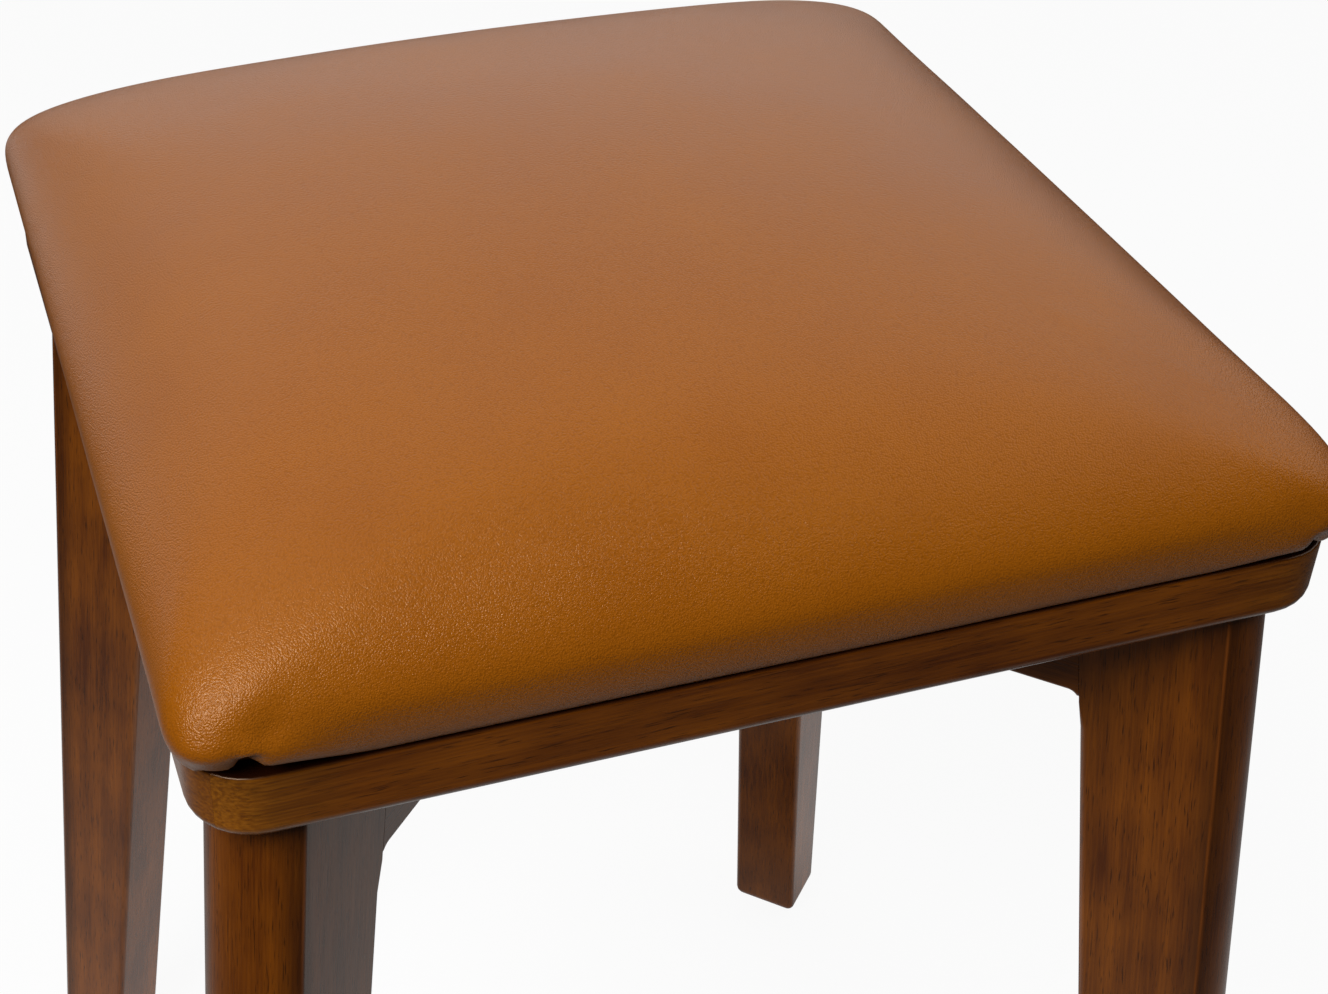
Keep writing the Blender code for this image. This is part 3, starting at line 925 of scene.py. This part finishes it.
@dataclass
class CrossBraces:
    """Two braces between opposite legs, flush with the legs' faces, that cross in a half lap.

    Attributes:
        cove: Radius of the hollow where the lower edge runs onto a leg.
        cove_toe: Thickness of the hollow's blunt end.
        fit_gap: Width of the seam against a leg and in the lap.
    """

    legs: Legs
    depth: float = 0.0393
    easing: float = 0.0012
    cove: float = 0.0032
    cove_toe: float = 0.0005
    fit_gap: float = 0.0001
    grain: Triple = (1, 0.01, 0)
    heart: Pair = (26, 35)
    heart_drift: Pair = (9, math.inf)
    easing_steps: int = 5
    cove_steps: int = 8

    def __post_init__(self) -> None:
        """Find the heights of the braces."""
        self.top = self.legs.length
        self.bottom = self.top - self.depth

    def profile(self, inset: float, lap: Lap) -> list[Vector]:
        """Side view of a brace along X, with ends that follow the legs and coves that run down onto them.

        Args:
            inset: How far the lower edge is moved in, at its easing.
            lap: Which half of the brace is notched.

        Returns:
            The closed outline in the plane of X and Z.
        """
        centre = Vector((self.legs.inner(self.bottom) - self.cove, 0, self.bottom - self.cove))
        radius = self.cove + inset
        toe = math.acos((self.cove - self.cove_toe) / radius)
        ends = [self.top, centre.z + radius * math.sin(toe)]
        half = [Vector((self.legs.inner(height) - self.fit_gap, 0, height)) for height in ends]
        for i in range(self.cove_steps + 1):
            angle = toe + (QUARTER - toe) * i / self.cove_steps
            half.append(centre + Vector((math.cos(angle), 0, math.sin(angle))) * radius)
        wide = self.legs.thickness / 2 + self.fit_gap
        floor = Vector((wide, 0, (self.bottom + self.top + lap.value * self.fit_gap) / 2))
        if lap is Lap.OVER:
            half += [Vector((wide, 0, self.bottom + inset)), floor]
        else:
            half = [floor, Vector((wide, 0, self.top))] + half
        return half + [Vector((-point.x, 0, point.z)) for point in reversed(half)]

    def brace(self, lap: Lap) -> BMesh:
        """A brace along X, skinned over its side views.

        Args:
            lap: Which half of it is notched.

        Returns:
            The brace's mesh.
        """
        eased = quarter_round(self.easing, self.easing_steps)
        slices = [(self.legs.thickness / 2 - off, inset) for off, inset in eased]
        slices += [(-depth, inset) for depth, inset in reversed(slices)]
        bm = bmesh.new()
        loops = []
        for depth, inset in slices:
            verts = [
                bmesh.ops.create_vert(bm, co=point + Vector((0, depth, 0)))["vert"][0]
                for point in self.profile(inset, lap)
            ]
            loops.append([bm.edges.new(pair) for pair in zip(verts, verts[1:] + verts[:1])])
        skin(bm, loops)
        return bm

    def build(self) -> None:
        """Make both braces and fix them to the stool."""
        for lap, corner in ((Lap.OVER, Corner.REAR_RIGHT), (Lap.UNDER, Corner.REAR_LEFT)):
            name = "brace_lap_" + lap.name.lower()
            finish = LacqueredWood(
                name=name + "_lacquered_wood",
                grain=corner.turn.to_3x3() @ Vector(self.grain),
                heart=corner.heart(self.heart, self.heart_drift),
            )
            bm = self.brace(lap)
            bm.transform(corner.turn)
            fix_wood(make_piece(name, bm, finish.material()), "cross_" + name)


class Ring(NamedTuple):
    """One level line round the cushion: a rounded square, with its share of the crown on top."""

    half: float
    radius: float
    height: float
    lift: float


@dataclass(frozen=True)
class CornerPleat:
    """How the leather is tucked in at one corner, on the front or rear side.

    Lengths run along the side from the tuck, in from the side, or up from the underside. Where there are
    two of them, an effect has run out at the first and is full at the second.

    Attributes:
        side: Which way the corner lies from the middle, in X and Y.
        at: Distance of the tuck from the corner.
        depth: How deep the tuck is pushed in.
        gap: How high the leather stands off the frame there.
        fold: Depth of the soft valley that rises from the tuck.
        ear: How far the leather bulges between the corner and its tuck.
        reach: Distance from the corner within which points are moved.
        free_rim: Width of the rim where nothing holds the leather down.
        lift_flare: How far the lifted leather moves outward, as a share of its lift.
        notch_rise: How far the tuck rises, as a share of its depth.
        ear_lean: How far the ear points along the side, for a step away from it.
    """

    side: tuple[int, int]
    at: float
    depth: float
    gap: float
    fold: float
    ear: float = 0.0010
    reach: float = 0.060
    free_rim: float = 0.004
    lift_start: Pair = (-0.0025, 0.0005)
    lift_end: Pair = (0.031, 0.001)
    lift_height: Pair = (0.016, 0.0)
    lift_flare: float = 0.65
    corner_share: float = 0.6
    next_side_share: float = 0.5
    next_side_inset: Pair = (0.025, 0.0)
    notch_width: float = 0.0022
    notch_height: Pair = (0.0085, 0.002)
    notch_rise: float = 0.4
    ear_level: float = 0.0095
    ear_height: float = 0.0055
    ear_inset: float = 0.002
    ear_width: float = 0.012
    ear_lean: float = 0.4
    valley_level: float = 0.003
    valley_length: float = 0.022
    valley_lean: float = 0.010
    valley_width: float = 0.0040
    valley_start: Pair = (-0.1, 0.1)
    valley_end: Pair = (1.1, 0.3)
    valley_inset: Pair = (0.030, 0.018)

    def move(self, vert: BMVert, half: float, bottom: float, overhang: float) -> Vector:
        """How the tuck moves one point of the cover.

        Args:
            vert: The point.
            half: Half the width of the cover.
            bottom: Height of its underside.
            overhang: How far it stands out past the seat board.

        Returns:
            The move.
        """
        along = half - self.side[0] * vert.co.x
        inward = half - self.side[1] * vert.co.y
        height = vert.co.z - bottom
        if max(along, inward) > self.reach:
            return Vector((0, 0, 0))
        past = along - self.at
        free = smoothstep(overhang, self.free_rim, inward)
        # The leather stands off the frame past the tuck, and less so round the corner itself
        started = smoothstep(*self.lift_start, past)
        standing = (self.corner_share + (1 - self.corner_share) * started) * smoothstep(*self.lift_end, past)
        low = self.gap * smoothstep(*self.lift_height, height)
        lift = low * standing * free
        push = self.lift_flare * lift * started
        beside = smoothstep(overhang, self.free_rim, along) * smoothstep(*self.next_side_inset, inward)
        lift = max(lift, self.next_side_share * low * beside)
        notch = self.depth * bell(past, self.notch_width) * smoothstep(*self.notch_height, height) * free
        move = Vector((0, self.side[1] * (push - notch), lift + self.notch_rise * notch))
        # The leather bulges between the corner and its tuck
        off = math.hypot(along - self.at / 2, inward - self.ear_inset)
        ear = self.ear * bell(height - self.ear_level, self.ear_height) * bell(off, self.ear_width)
        move += Vector((self.ear_lean * self.side[0], self.side[1], 0)).normalized() * ear
        # A soft valley rises from the tuck and leans away from the corner
        rise = (height - self.valley_level) / self.valley_length
        ends = smoothstep(*self.valley_start, rise) * smoothstep(*self.valley_end, rise)
        beside = bell(past - self.valley_lean * rise, self.valley_width)
        return move - vert.normal * self.fold * ends * beside * smoothstep(*self.valley_inset, inward)


@dataclass
class Cushion:
    """The leather cover, blown up over its pad, tucked in at the corners and hemmed under the seat board.

    Attributes:
        tightness: How far the cover is drawn in all round, inside its solid.
        skew: How far the front of the cover is pulled to the left.
        corner_spread: How fast the corners grow rounder towards the top.
        widest_level: Height of the widest line above the underside.
        bottom_roll: How far the underside is drawn in.
        shoulder_roll: How far the rim is drawn in.
        hem: Half the width of the opening in the underside.
        slack: How far the crown starts below its final place, before it is blown up.
        most_swell: How far any point may move then.
        pressure: Pressure that blows it up, in the simulation's units.
        bending: How stiff the leather is against bending, in the same units.
        bunching: How far the cells along a side are drawn together towards its ends.
        roll_share: Share of the rows below the widest line.
        rim_share: Share of the top inside its rim.
        rim_turn: How far the shoulder has turned where the side's cells end.
        edge: How far up and how far in the cover's lower edge reaches.
        wander: How far the lower edge wanders up and down, over what distance.
        uneven: How uneven the leather is, over what distance.
        seed: Height at which the noise of the lower edge is read.
        finer: How often the cells of the cover and of the pad are divided.
    """

    tightness: float = 0.001
    skew: float = 0.0016
    corner_radius: float = 0.012
    corner_spread: float = 1.15
    widest_level: float = 0.0125
    bottom_roll: float = 0.0035
    shoulder_height: float = 0.0355
    shoulder_roll: float = 0.043
    hem: float = 0.120
    hide: float = 0.0012
    slack: float = 0.0015
    most_swell: float = 0.003
    pressure: float = 5.0
    bending: float = 6.0
    frames: int = 20
    columns: int = 34
    rows: int = 10
    bunching: float = 0.5
    roll_share: float = 0.3
    rim_share: float = 0.86
    rim_turn: float = math.radians(60)
    edge: Pair = (0.012, 0.002)
    wander: Pair = (0.0009, 0.055)
    sag: float = 0.0003
    uneven: Pair = (0.00010, 0.034)
    even_level: Pair = (0.003, 0.012)
    seed: float = 0.3
    facing_down: float = -0.9
    finer: tuple[int, int] = (2, 1)
    foam_inset: float = 0.005
    pleats: tuple[CornerPleat, ...] = (
        CornerPleat((-1, -1), 0.0160, 0.0030, 0.0052, 0.0007, 0.0022),
        CornerPleat((1, -1), 0.0120, 0.0018, 0.0024, 0.0003),
        CornerPleat((1, 1), 0.0145, 0.0022, 0.0022, 0.0004),
        CornerPleat((-1, 1), 0.0130, 0.0024, 0.0020, 0.0003),
    )

    def __post_init__(self) -> None:
        """Read the cushion's size from its cover and from the seat board."""
        low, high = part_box("leather_cover")
        self.half = high.x - self.tightness
        self.bottom = low.z
        self.crown = high.z - low.z - self.shoulder_height
        self.board_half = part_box("seat_board")[1].x

    def shoulder(self, angle: float) -> Ring:
        """Level line on the shoulder, from the widest line at no angle to the rim at a quarter turn."""
        drawn_in = self.shoulder_roll * (1 - math.cos(angle))
        return Ring(
            self.half - drawn_in,
            self.corner_radius + self.corner_spread * drawn_in,
            self.widest_level + (self.shoulder_height - self.widest_level) * math.sin(angle),
            math.sin(angle),
        )

    def side_ring(self, share: float) -> Ring:
        """Level line on the side.

        Args:
            share: How far up the side it lies, from 0 to 1.

        Returns:
            The line.
        """
        if share >= self.roll_share:
            return self.shoulder(self.rim_turn * (share - self.roll_share) / (1 - self.roll_share))
        angle = QUARTER * share / self.roll_share
        drawn_in = self.bottom_roll * (1 - math.sin(angle))
        height = self.widest_level * (1 - math.cos(angle))
        return Ring(self.half - drawn_in, self.corner_radius - drawn_in, height, 0)

    def top_ring(self, share: float) -> Ring:
        """Level line on the top.

        Args:
            share: How far out it lies, from 0 in the middle to 1 where the side begins.

        Returns:
            The line.
        """
        if share > self.rim_share:
            past = (1 - share) / (1 - self.rim_share)
            return self.shoulder(self.rim_turn + (QUARTER - self.rim_turn) * past)
        rim = self.shoulder(QUARTER)
        scale = share / self.rim_share
        return Ring(rim.half * scale, rim.radius * scale, rim.height, 1)

    def on_ring(self, u: float, v: float, ring: Ring, crown: float) -> Vector:
        """Lay a point of a square onto a level line.

        Args:
            u: Place of the point across the square, from -1 to 1.
            v: Place of the point along the square.
            ring: The line.
            crown: Height of the crown over the rim.

        Returns:
            The point above the cushion's underside.
        """
        reach = max(abs(u), abs(v), ALMOST_NOTHING)
        point = Vector((u, v)) * (ring.half / reach)
        straight = ring.half - ring.radius
        core = Vector([min(max(value, -straight), straight) for value in point])
        point = core + (point - core).normalized() * ring.radius
        fall = (1 - (point.x / self.half) ** 2) * (1 - (point.y / self.half) ** 2)
        return Vector((point.x, point.y, ring.height + crown * ring.lift * fall))

    def form(self, columns: int, rows: int, crown: float) -> BMesh:
        """The cushion as a closed form over its level lines.

        Args:
            columns: Cells along a side.
            rows: Cells up a side.
            crown: Height of the crown over the rim.

        Returns:
            The form, with its underside at height 0.
        """
        bm = bmesh.new()
        bmesh.ops.create_cube(bm, size=2)
        for axis, cells in ((2, rows), (0, columns), (1, columns)):
            edges = [edge for edge in bm.edges if abs(edge.verts[0].co[axis] - edge.verts[1].co[axis]) > 1]
            bmesh.ops.subdivide_edges(bm, edges=edges, cuts=cells - 1, use_grid_fill=True)
        for vert in bm.verts:
            u, v = (at + self.bunching * (math.sin(QUARTER * at) - at) for at in vert.co.xy)
            level, out = vert.co.z, max(abs(u), abs(v))
            ring = self.top_ring(out) if level > 1 - HAIR else self.side_ring((level + 1) / 2)
            if level < HAIR - 1:
                ring = Ring(ring.half * out, ring.radius * out, ring.height, ring.lift)
            vert.co = self.on_ring(u, v, ring, crown)
        return bm

    def inflate(self, piece: Object) -> None:
        """Blow the cover up against its held underside, as a tight pad does.

        Args:
            piece: The cover.
        """
        mesh = piece.data
        start = [vert.co.copy() for vert in mesh.vertices]
        held = piece.vertex_groups.new(name="held")
        rim = self.bottom + self.widest_level
        held.add([vert.index for vert in mesh.vertices if vert.co.z < rim], 1.0, "REPLACE")
        cloth = piece.modifiers.new("pressure", "CLOTH")
        cloth.settings.use_pressure = True
        cloth.settings.uniform_pressure_force = self.pressure
        cloth.settings.bending_stiffness = self.bending
        cloth.settings.effector_weights.gravity = 0
        cloth.settings.vertex_group_mass = held.name
        cloth.point_cache.frame_start = 1
        cloth.point_cache.frame_end = self.frames
        scene = bpy.context.scene
        for step in range(1, self.frames + 1):
            scene.frame_set(step)
        apply_modifiers(piece)
        scene.frame_set(1)
        farthest = 0.0
        for vert, before in zip(piece.data.vertices, start):
            move = vert.co - before
            farthest = max(farthest, move.length)
            if move.length > self.most_swell:
                vert.co = before + move.normalized() * self.most_swell
        farthest_mm, limit_mm = farthest / MILLIMETRE, self.most_swell / MILLIMETRE
        LOG.info("cover blown up by at most %.1f mm, held to %.1f mm", farthest_mm, limit_mm)

    def refine(self, piece: Object, levels: int) -> None:
        """Subdivide a soft piece and keep the finer mesh.

        Args:
            piece: The piece.
            levels: How often each cell is divided.
        """
        step = piece.modifiers.new("finer", "SUBSURF")
        step.levels = step.render_levels = levels
        apply_modifiers(piece)

    def drift(self, vert: BMVert) -> Vector:
        """How the wandering lower edge, the uneven hide and the skew move one point of the cover.

        Args:
            vert: The point.

        Returns:
            The move.
        """
        height = vert.co.z - self.bottom
        out = max(abs(vert.co.x), abs(vert.co.y))
        tall, inset = self.edge
        edge = smoothstep(tall, 0.0, height) * smoothstep(self.board_half, self.half - inset, out)
        most, size = self.wander
        lift = edge * (most * noise.noise(Vector((vert.co.x, vert.co.y, self.seed)) / size) - self.sag)
        most, size = self.uneven
        unevenness = most * noise.noise(vert.co / size) * smoothstep(*self.even_level, height)
        aside = self.skew * (self.half - vert.co.y) / (2 * self.half)
        return Vector((-aside, 0, lift)) + vert.normal * unevenness

    def sculpt(self, piece: Object) -> None:
        """Tuck the corners in, let the lower edge wander, and cut the opening in the underside.

        Args:
            piece: The cover.
        """
        bm = bmesh.new()
        bm.from_mesh(piece.data)
        bm.normal_update()
        overhang = self.half - self.board_half
        moves = []
        for vert in bm.verts:
            tucks = [pleat.move(vert, self.half, self.bottom, overhang) for pleat in self.pleats]
            moves.append(sum(tucks, self.drift(vert)))
        for vert, move in zip(bm.verts, moves):
            vert.co += move
        down = [face for face in bm.faces if face.normal.z < self.facing_down]
        inside = [face for face in down if max(map(abs, face.calc_center_median().xy)) < self.hem]
        bmesh.ops.delete(bm, geom=inside, context="FACES")
        bm.to_mesh(piece.data)
        bm.free()

    def cover(self) -> None:
        """Make the leather cover and fix it to the stool."""
        bm = self.form(self.columns, self.rows, self.crown - self.slack)
        bmesh.ops.translate(bm, vec=UP * self.bottom, verts=bm.verts)
        piece = make_piece("leather_seat_cover", bm, TanLeather().material())
        self.inflate(piece)
        self.refine(piece, self.finer[0])
        self.sculpt(piece)
        step = piece.modifiers.new("hide", "SOLIDIFY")
        step.thickness = self.hide
        step.offset = -1
        stand_in(piece, Slot.LEATHER, "leather_cover")

    def foam(self) -> None:
        """Make the foam pad, which lies on the seat board inside the cover."""
        bm = self.form(self.columns // 2, self.rows, self.crown)
        shrunk = 1 - self.foam_inset / self.half
        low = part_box("foam_pad")[0].z
        high = self.bottom + self.shoulder_height + self.crown - self.foam_inset
        tall = (high - low) / (self.shoulder_height + self.crown)
        bmesh.ops.scale(bm, vec=(shrunk, shrunk, tall), verts=bm.verts)
        bmesh.ops.translate(bm, vec=UP * low, verts=bm.verts)
        piece = make_piece("foam_seat_pad", bm, SeatFoam().material())
        self.refine(piece, self.finer[1])
        stand_in(piece, Slot.FOAM, "foam_pad")

    def build(self) -> None:
        """Make the cover and its pad."""
        self.cover()
        self.foam()


@dataclass
class Fittings:
    """Pieces inside and under the stool that keep their solids: dowels, splines, screws and the seat board.

    Attributes:
        nodes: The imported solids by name.
    """

    nodes: dict[str, Object]
    beech: tuple[str, str] = ("#D8B78C", "#B98F5F")
    birch: tuple[str, str] = ("#DCC29A", "#B8935F")
    beech_fleck_mm: Pair = (0.8, 7.0)
    birch_fleck_mm: Pair = (5.0, 90.0)

    def finish(self, name: str, material: Material) -> None:
        """Give a solid its material and report it."""
        self.nodes[name].material_slots[0].material = material
        LOG.info("%s: kept, in %s", name, material.name)

    def dress(self) -> None:
        """Give every kept solid its finish."""
        upright = PlainWood("beech_upright", UP, *self.beech, self.beech_fleck_mm).material()
        steel = ZincSteel().material()
        board = PlainWood("birch_plywood", ACROSS, *self.birch, self.birch_fleck_mm).material()
        for corner in Corner:
            out = corner.turn.to_3x3() @ ACROSS
            beech = PlainWood("beech_" + corner.label, out, *self.beech, self.beech_fleck_mm).material()
            for letter in ("a", "b"):
                self.finish(f"leg_dowel_{corner.label}_{letter}", upright)
            for level in ("upper", "lower"):
                self.finish(f"brace_dowel_{corner.label}_{level}", beech)
            self.finish("mitre_spline_" + corner.label, beech)
        for side in Side:
            self.finish("seat_screw_" + side.label, steel)
        self.finish("seat_board", board)


@dataclass(frozen=True)
class SoftBox:
    """A round softbox that is aimed at the seat.

    Attributes:
        towards: Direction of the lamp, seen from the seat.
        size: Width of its face.
        power: Its power in watts.
    """

    name: str
    towards: Triple
    distance: float
    size: float
    power: float

    def hang(self, seat: Vector) -> None:
        """Set up the lamp.

        Args:
            seat: The point that it is aimed at.
        """
        lamp = bpy.data.lights.new(self.name, "AREA")
        lamp.shape = "DISK"
        lamp.size = self.size
        lamp.energy = self.power
        away = Vector(self.towards).normalized()
        aim = away.to_track_quat("Z", "Y").to_matrix().to_4x4()
        stand = bpy.data.objects.new(self.name, lamp)
        stand.matrix_world = Matrix.Translation(seat + away * self.distance) @ aim
        bpy.context.scene.collection.objects.link(stand)
        LOG.info("%s: softbox of %.1f W", self.name, self.power)


@dataclass(frozen=True)
class Glow:
    """Brightness of paper that is lit round one spot and runs out into a dim room.

    Attributes:
        middle: Place of the spot, or its direction.
        reach: Distances from the middle at which the light has run out, and at which it is full.
        dim: Brightness where the light has run out.
        bright: Brightness of the spot.
        mirrored: Brightness of the spot in reflections.
        white: Brightness that the camera sees everywhere.
        shade: Distances from the shade's middle at which the stool's shade is full and has run out.
        shade_middle: Where that middle lies.
    """

    middle: Triple
    reach: Pair
    dim: float
    bright: float
    mirrored: float
    white: float
    shade: Pair | None = None
    shade_middle: Triple = (0.09, 0.09, 0.0)

    def brightness(self, tree: NodeTree, place: NodeSocket) -> NodeSocket:
        """Add the nodes.

        Args:
            tree: Tree of the material or the world.
            place: Place or direction that the brightness is read at.

        Returns:
            The brightness.
        """
        share: NodeSocket | float = 1.0
        for middle, reach in ((self.middle, self.reach), (self.shade_middle, self.shade)):
            if reach:
                off = add_node(tree, "VectorMath", "Value", {0: place, 1: middle}, operation="DISTANCE")
                span = dict(zip(MAP_SOCKETS, (off, *reach)))
                grown = add_node(tree, "MapRange", "Result", span, interpolation_type="SMOOTHSTEP")
                share = add_node(tree, "Math", "Value", {0: share, 1: grown}, operation="MULTIPLY")
        camera, glossy, through = (
            add_node(tree, "LightPath", f"Is {kind} Ray") for kind in ("Camera", "Glossy", "Transmission")
        )
        seen = add_node(tree, "Math", "Value", {0: camera, 1: through}, operation="MAXIMUM")
        spot = add_node(tree, "Mix", "Result", {"Factor": glossy, "A": self.bright, "B": self.mirrored})
        lit = add_node(tree, "Mix", "Result", {"Factor": share, "A": self.dim, "B": spot})
        return add_node(tree, "Mix", "Result", {"Factor": seen, "A": lit, "B": self.white})


@dataclass(frozen=True)
class Studio:
    """White paper behind and under the stool, a dim room in front of it, and three softboxes.

    Attributes:
        boxes: The lamps: a key at the front left, a weaker one at the right, a weak one low at the left rear.
        paper_colour: Colour of the paper on the floor where only the lamps light it.
    """

    seat: Triple = (0, 0, 0.44)
    boxes: tuple[SoftBox, ...] = (
        SoftBox("key", (-0.532, -0.447, 0.719), 1.5, 0.75, 20.5),
        SoftBox("side", (0.807, -0.142, 0.574), 1.5, 1.2, 4.5),
        SoftBox("rim", (-0.45, 0.84, -0.2), 1.5, 0.6, 0.9),
    )
    backdrop: Glow = Glow((0.212, 0.791, 0.574), (1.05, 0.55), 0.02, 0.6, 1.0, 1.0)
    paper: Glow = Glow((0.07, 0.15, 0.0), (0.70, 0.15), 0.0, 0.9, 0.52, 0.93, (0.0, 0.14))
    paper_colour: str = "#4A4A4A"
    floor_half: float = 4.0
    floor_cells: int = 8

    def surroundings(self) -> None:
        """Make the world: the backdrop and the room."""
        world = bpy.data.worlds.new("studio")
        bpy.context.scene.world = world
        world.use_nodes = True
        tree = world.node_tree
        glow = self.backdrop.brightness(tree, add_node(tree, "TexCoord", "Generated"))
        feed(tree, tree.nodes["Background"], {"Color": linear(WHITE), "Strength": glow})

    def floor(self) -> None:
        """Make the pale floor, which glows like lit paper and takes the stool's shadow."""
        material, tree, shader = new_surface("pale_paper_floor")
        surface = {
            "Base Color": linear(self.paper_colour),
            "Roughness": 1.0,
            "Specular IOR Level": 0.0,
            "Emission Color": linear(WHITE),
            "Emission Strength": self.paper.brightness(tree, add_node(tree, "TexCoord", "Object")),
        }
        feed(tree, shader, surface)
        bm = bmesh.new()
        cells = self.floor_cells
        bmesh.ops.create_grid(bm, x_segments=cells, y_segments=cells, size=self.floor_half)
        make_piece("floor", bm, material)

    def build(self) -> None:
        """Set up the surroundings, the floor and the lamps."""
        bpy.context.scene.view_settings.view_transform = "Standard"
        self.surroundings()
        self.floor()
        for box in self.boxes:
            box.hang(Vector(self.seat))


@dataclass(frozen=True)
class Viewpoint:
    """The photograph's viewpoint, found from the edges of the seat frame and the legs.

    Attributes:
        yaw: How far the camera is turned to the right of +Y.
        shift: How far the frame is moved to the side, in frame widths.
    """

    place: Triple = (-0.17872, -0.47067, 0.73276)
    yaw: float = math.radians(17.71)
    pitch: float = math.radians(36.49)
    roll: float = math.radians(0.18)
    lens: float = 59.14
    sensor: float = 36.0
    shift: float = 0.1235
    nearest: float = 0.01

    def build(self) -> None:
        """Set up the camera."""
        data = bpy.data.cameras.new("camera")
        data.sensor_width = self.sensor
        data.lens = self.lens
        data.shift_x = self.shift
        data.clip_start = self.nearest
        camera = bpy.data.objects.new("camera", data)
        camera.matrix_world = (
            Matrix.Translation(self.place)
            @ Matrix.Rotation(-self.yaw, 4, "Z")
            @ Matrix.Rotation(QUARTER - self.pitch, 4, "X")
            @ Matrix.Rotation(self.roll, 4, "Z")
        )
        bpy.context.scene.collection.objects.link(camera)
        bpy.context.scene.camera = camera


def main() -> None:
    """Build the stool's looks in order."""
    logging.basicConfig(level=logging.INFO, format="%(name)s: %(message)s")
    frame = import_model()
    Viewpoint().build()
    Studio().build()
    SeatFrame().build()
    legs = Legs()
    legs.build()
    CrossBraces(legs).build()
    Cushion().build()
    Fittings(frame["nodes"]).dress()


if __name__ == "__main__":
    main()
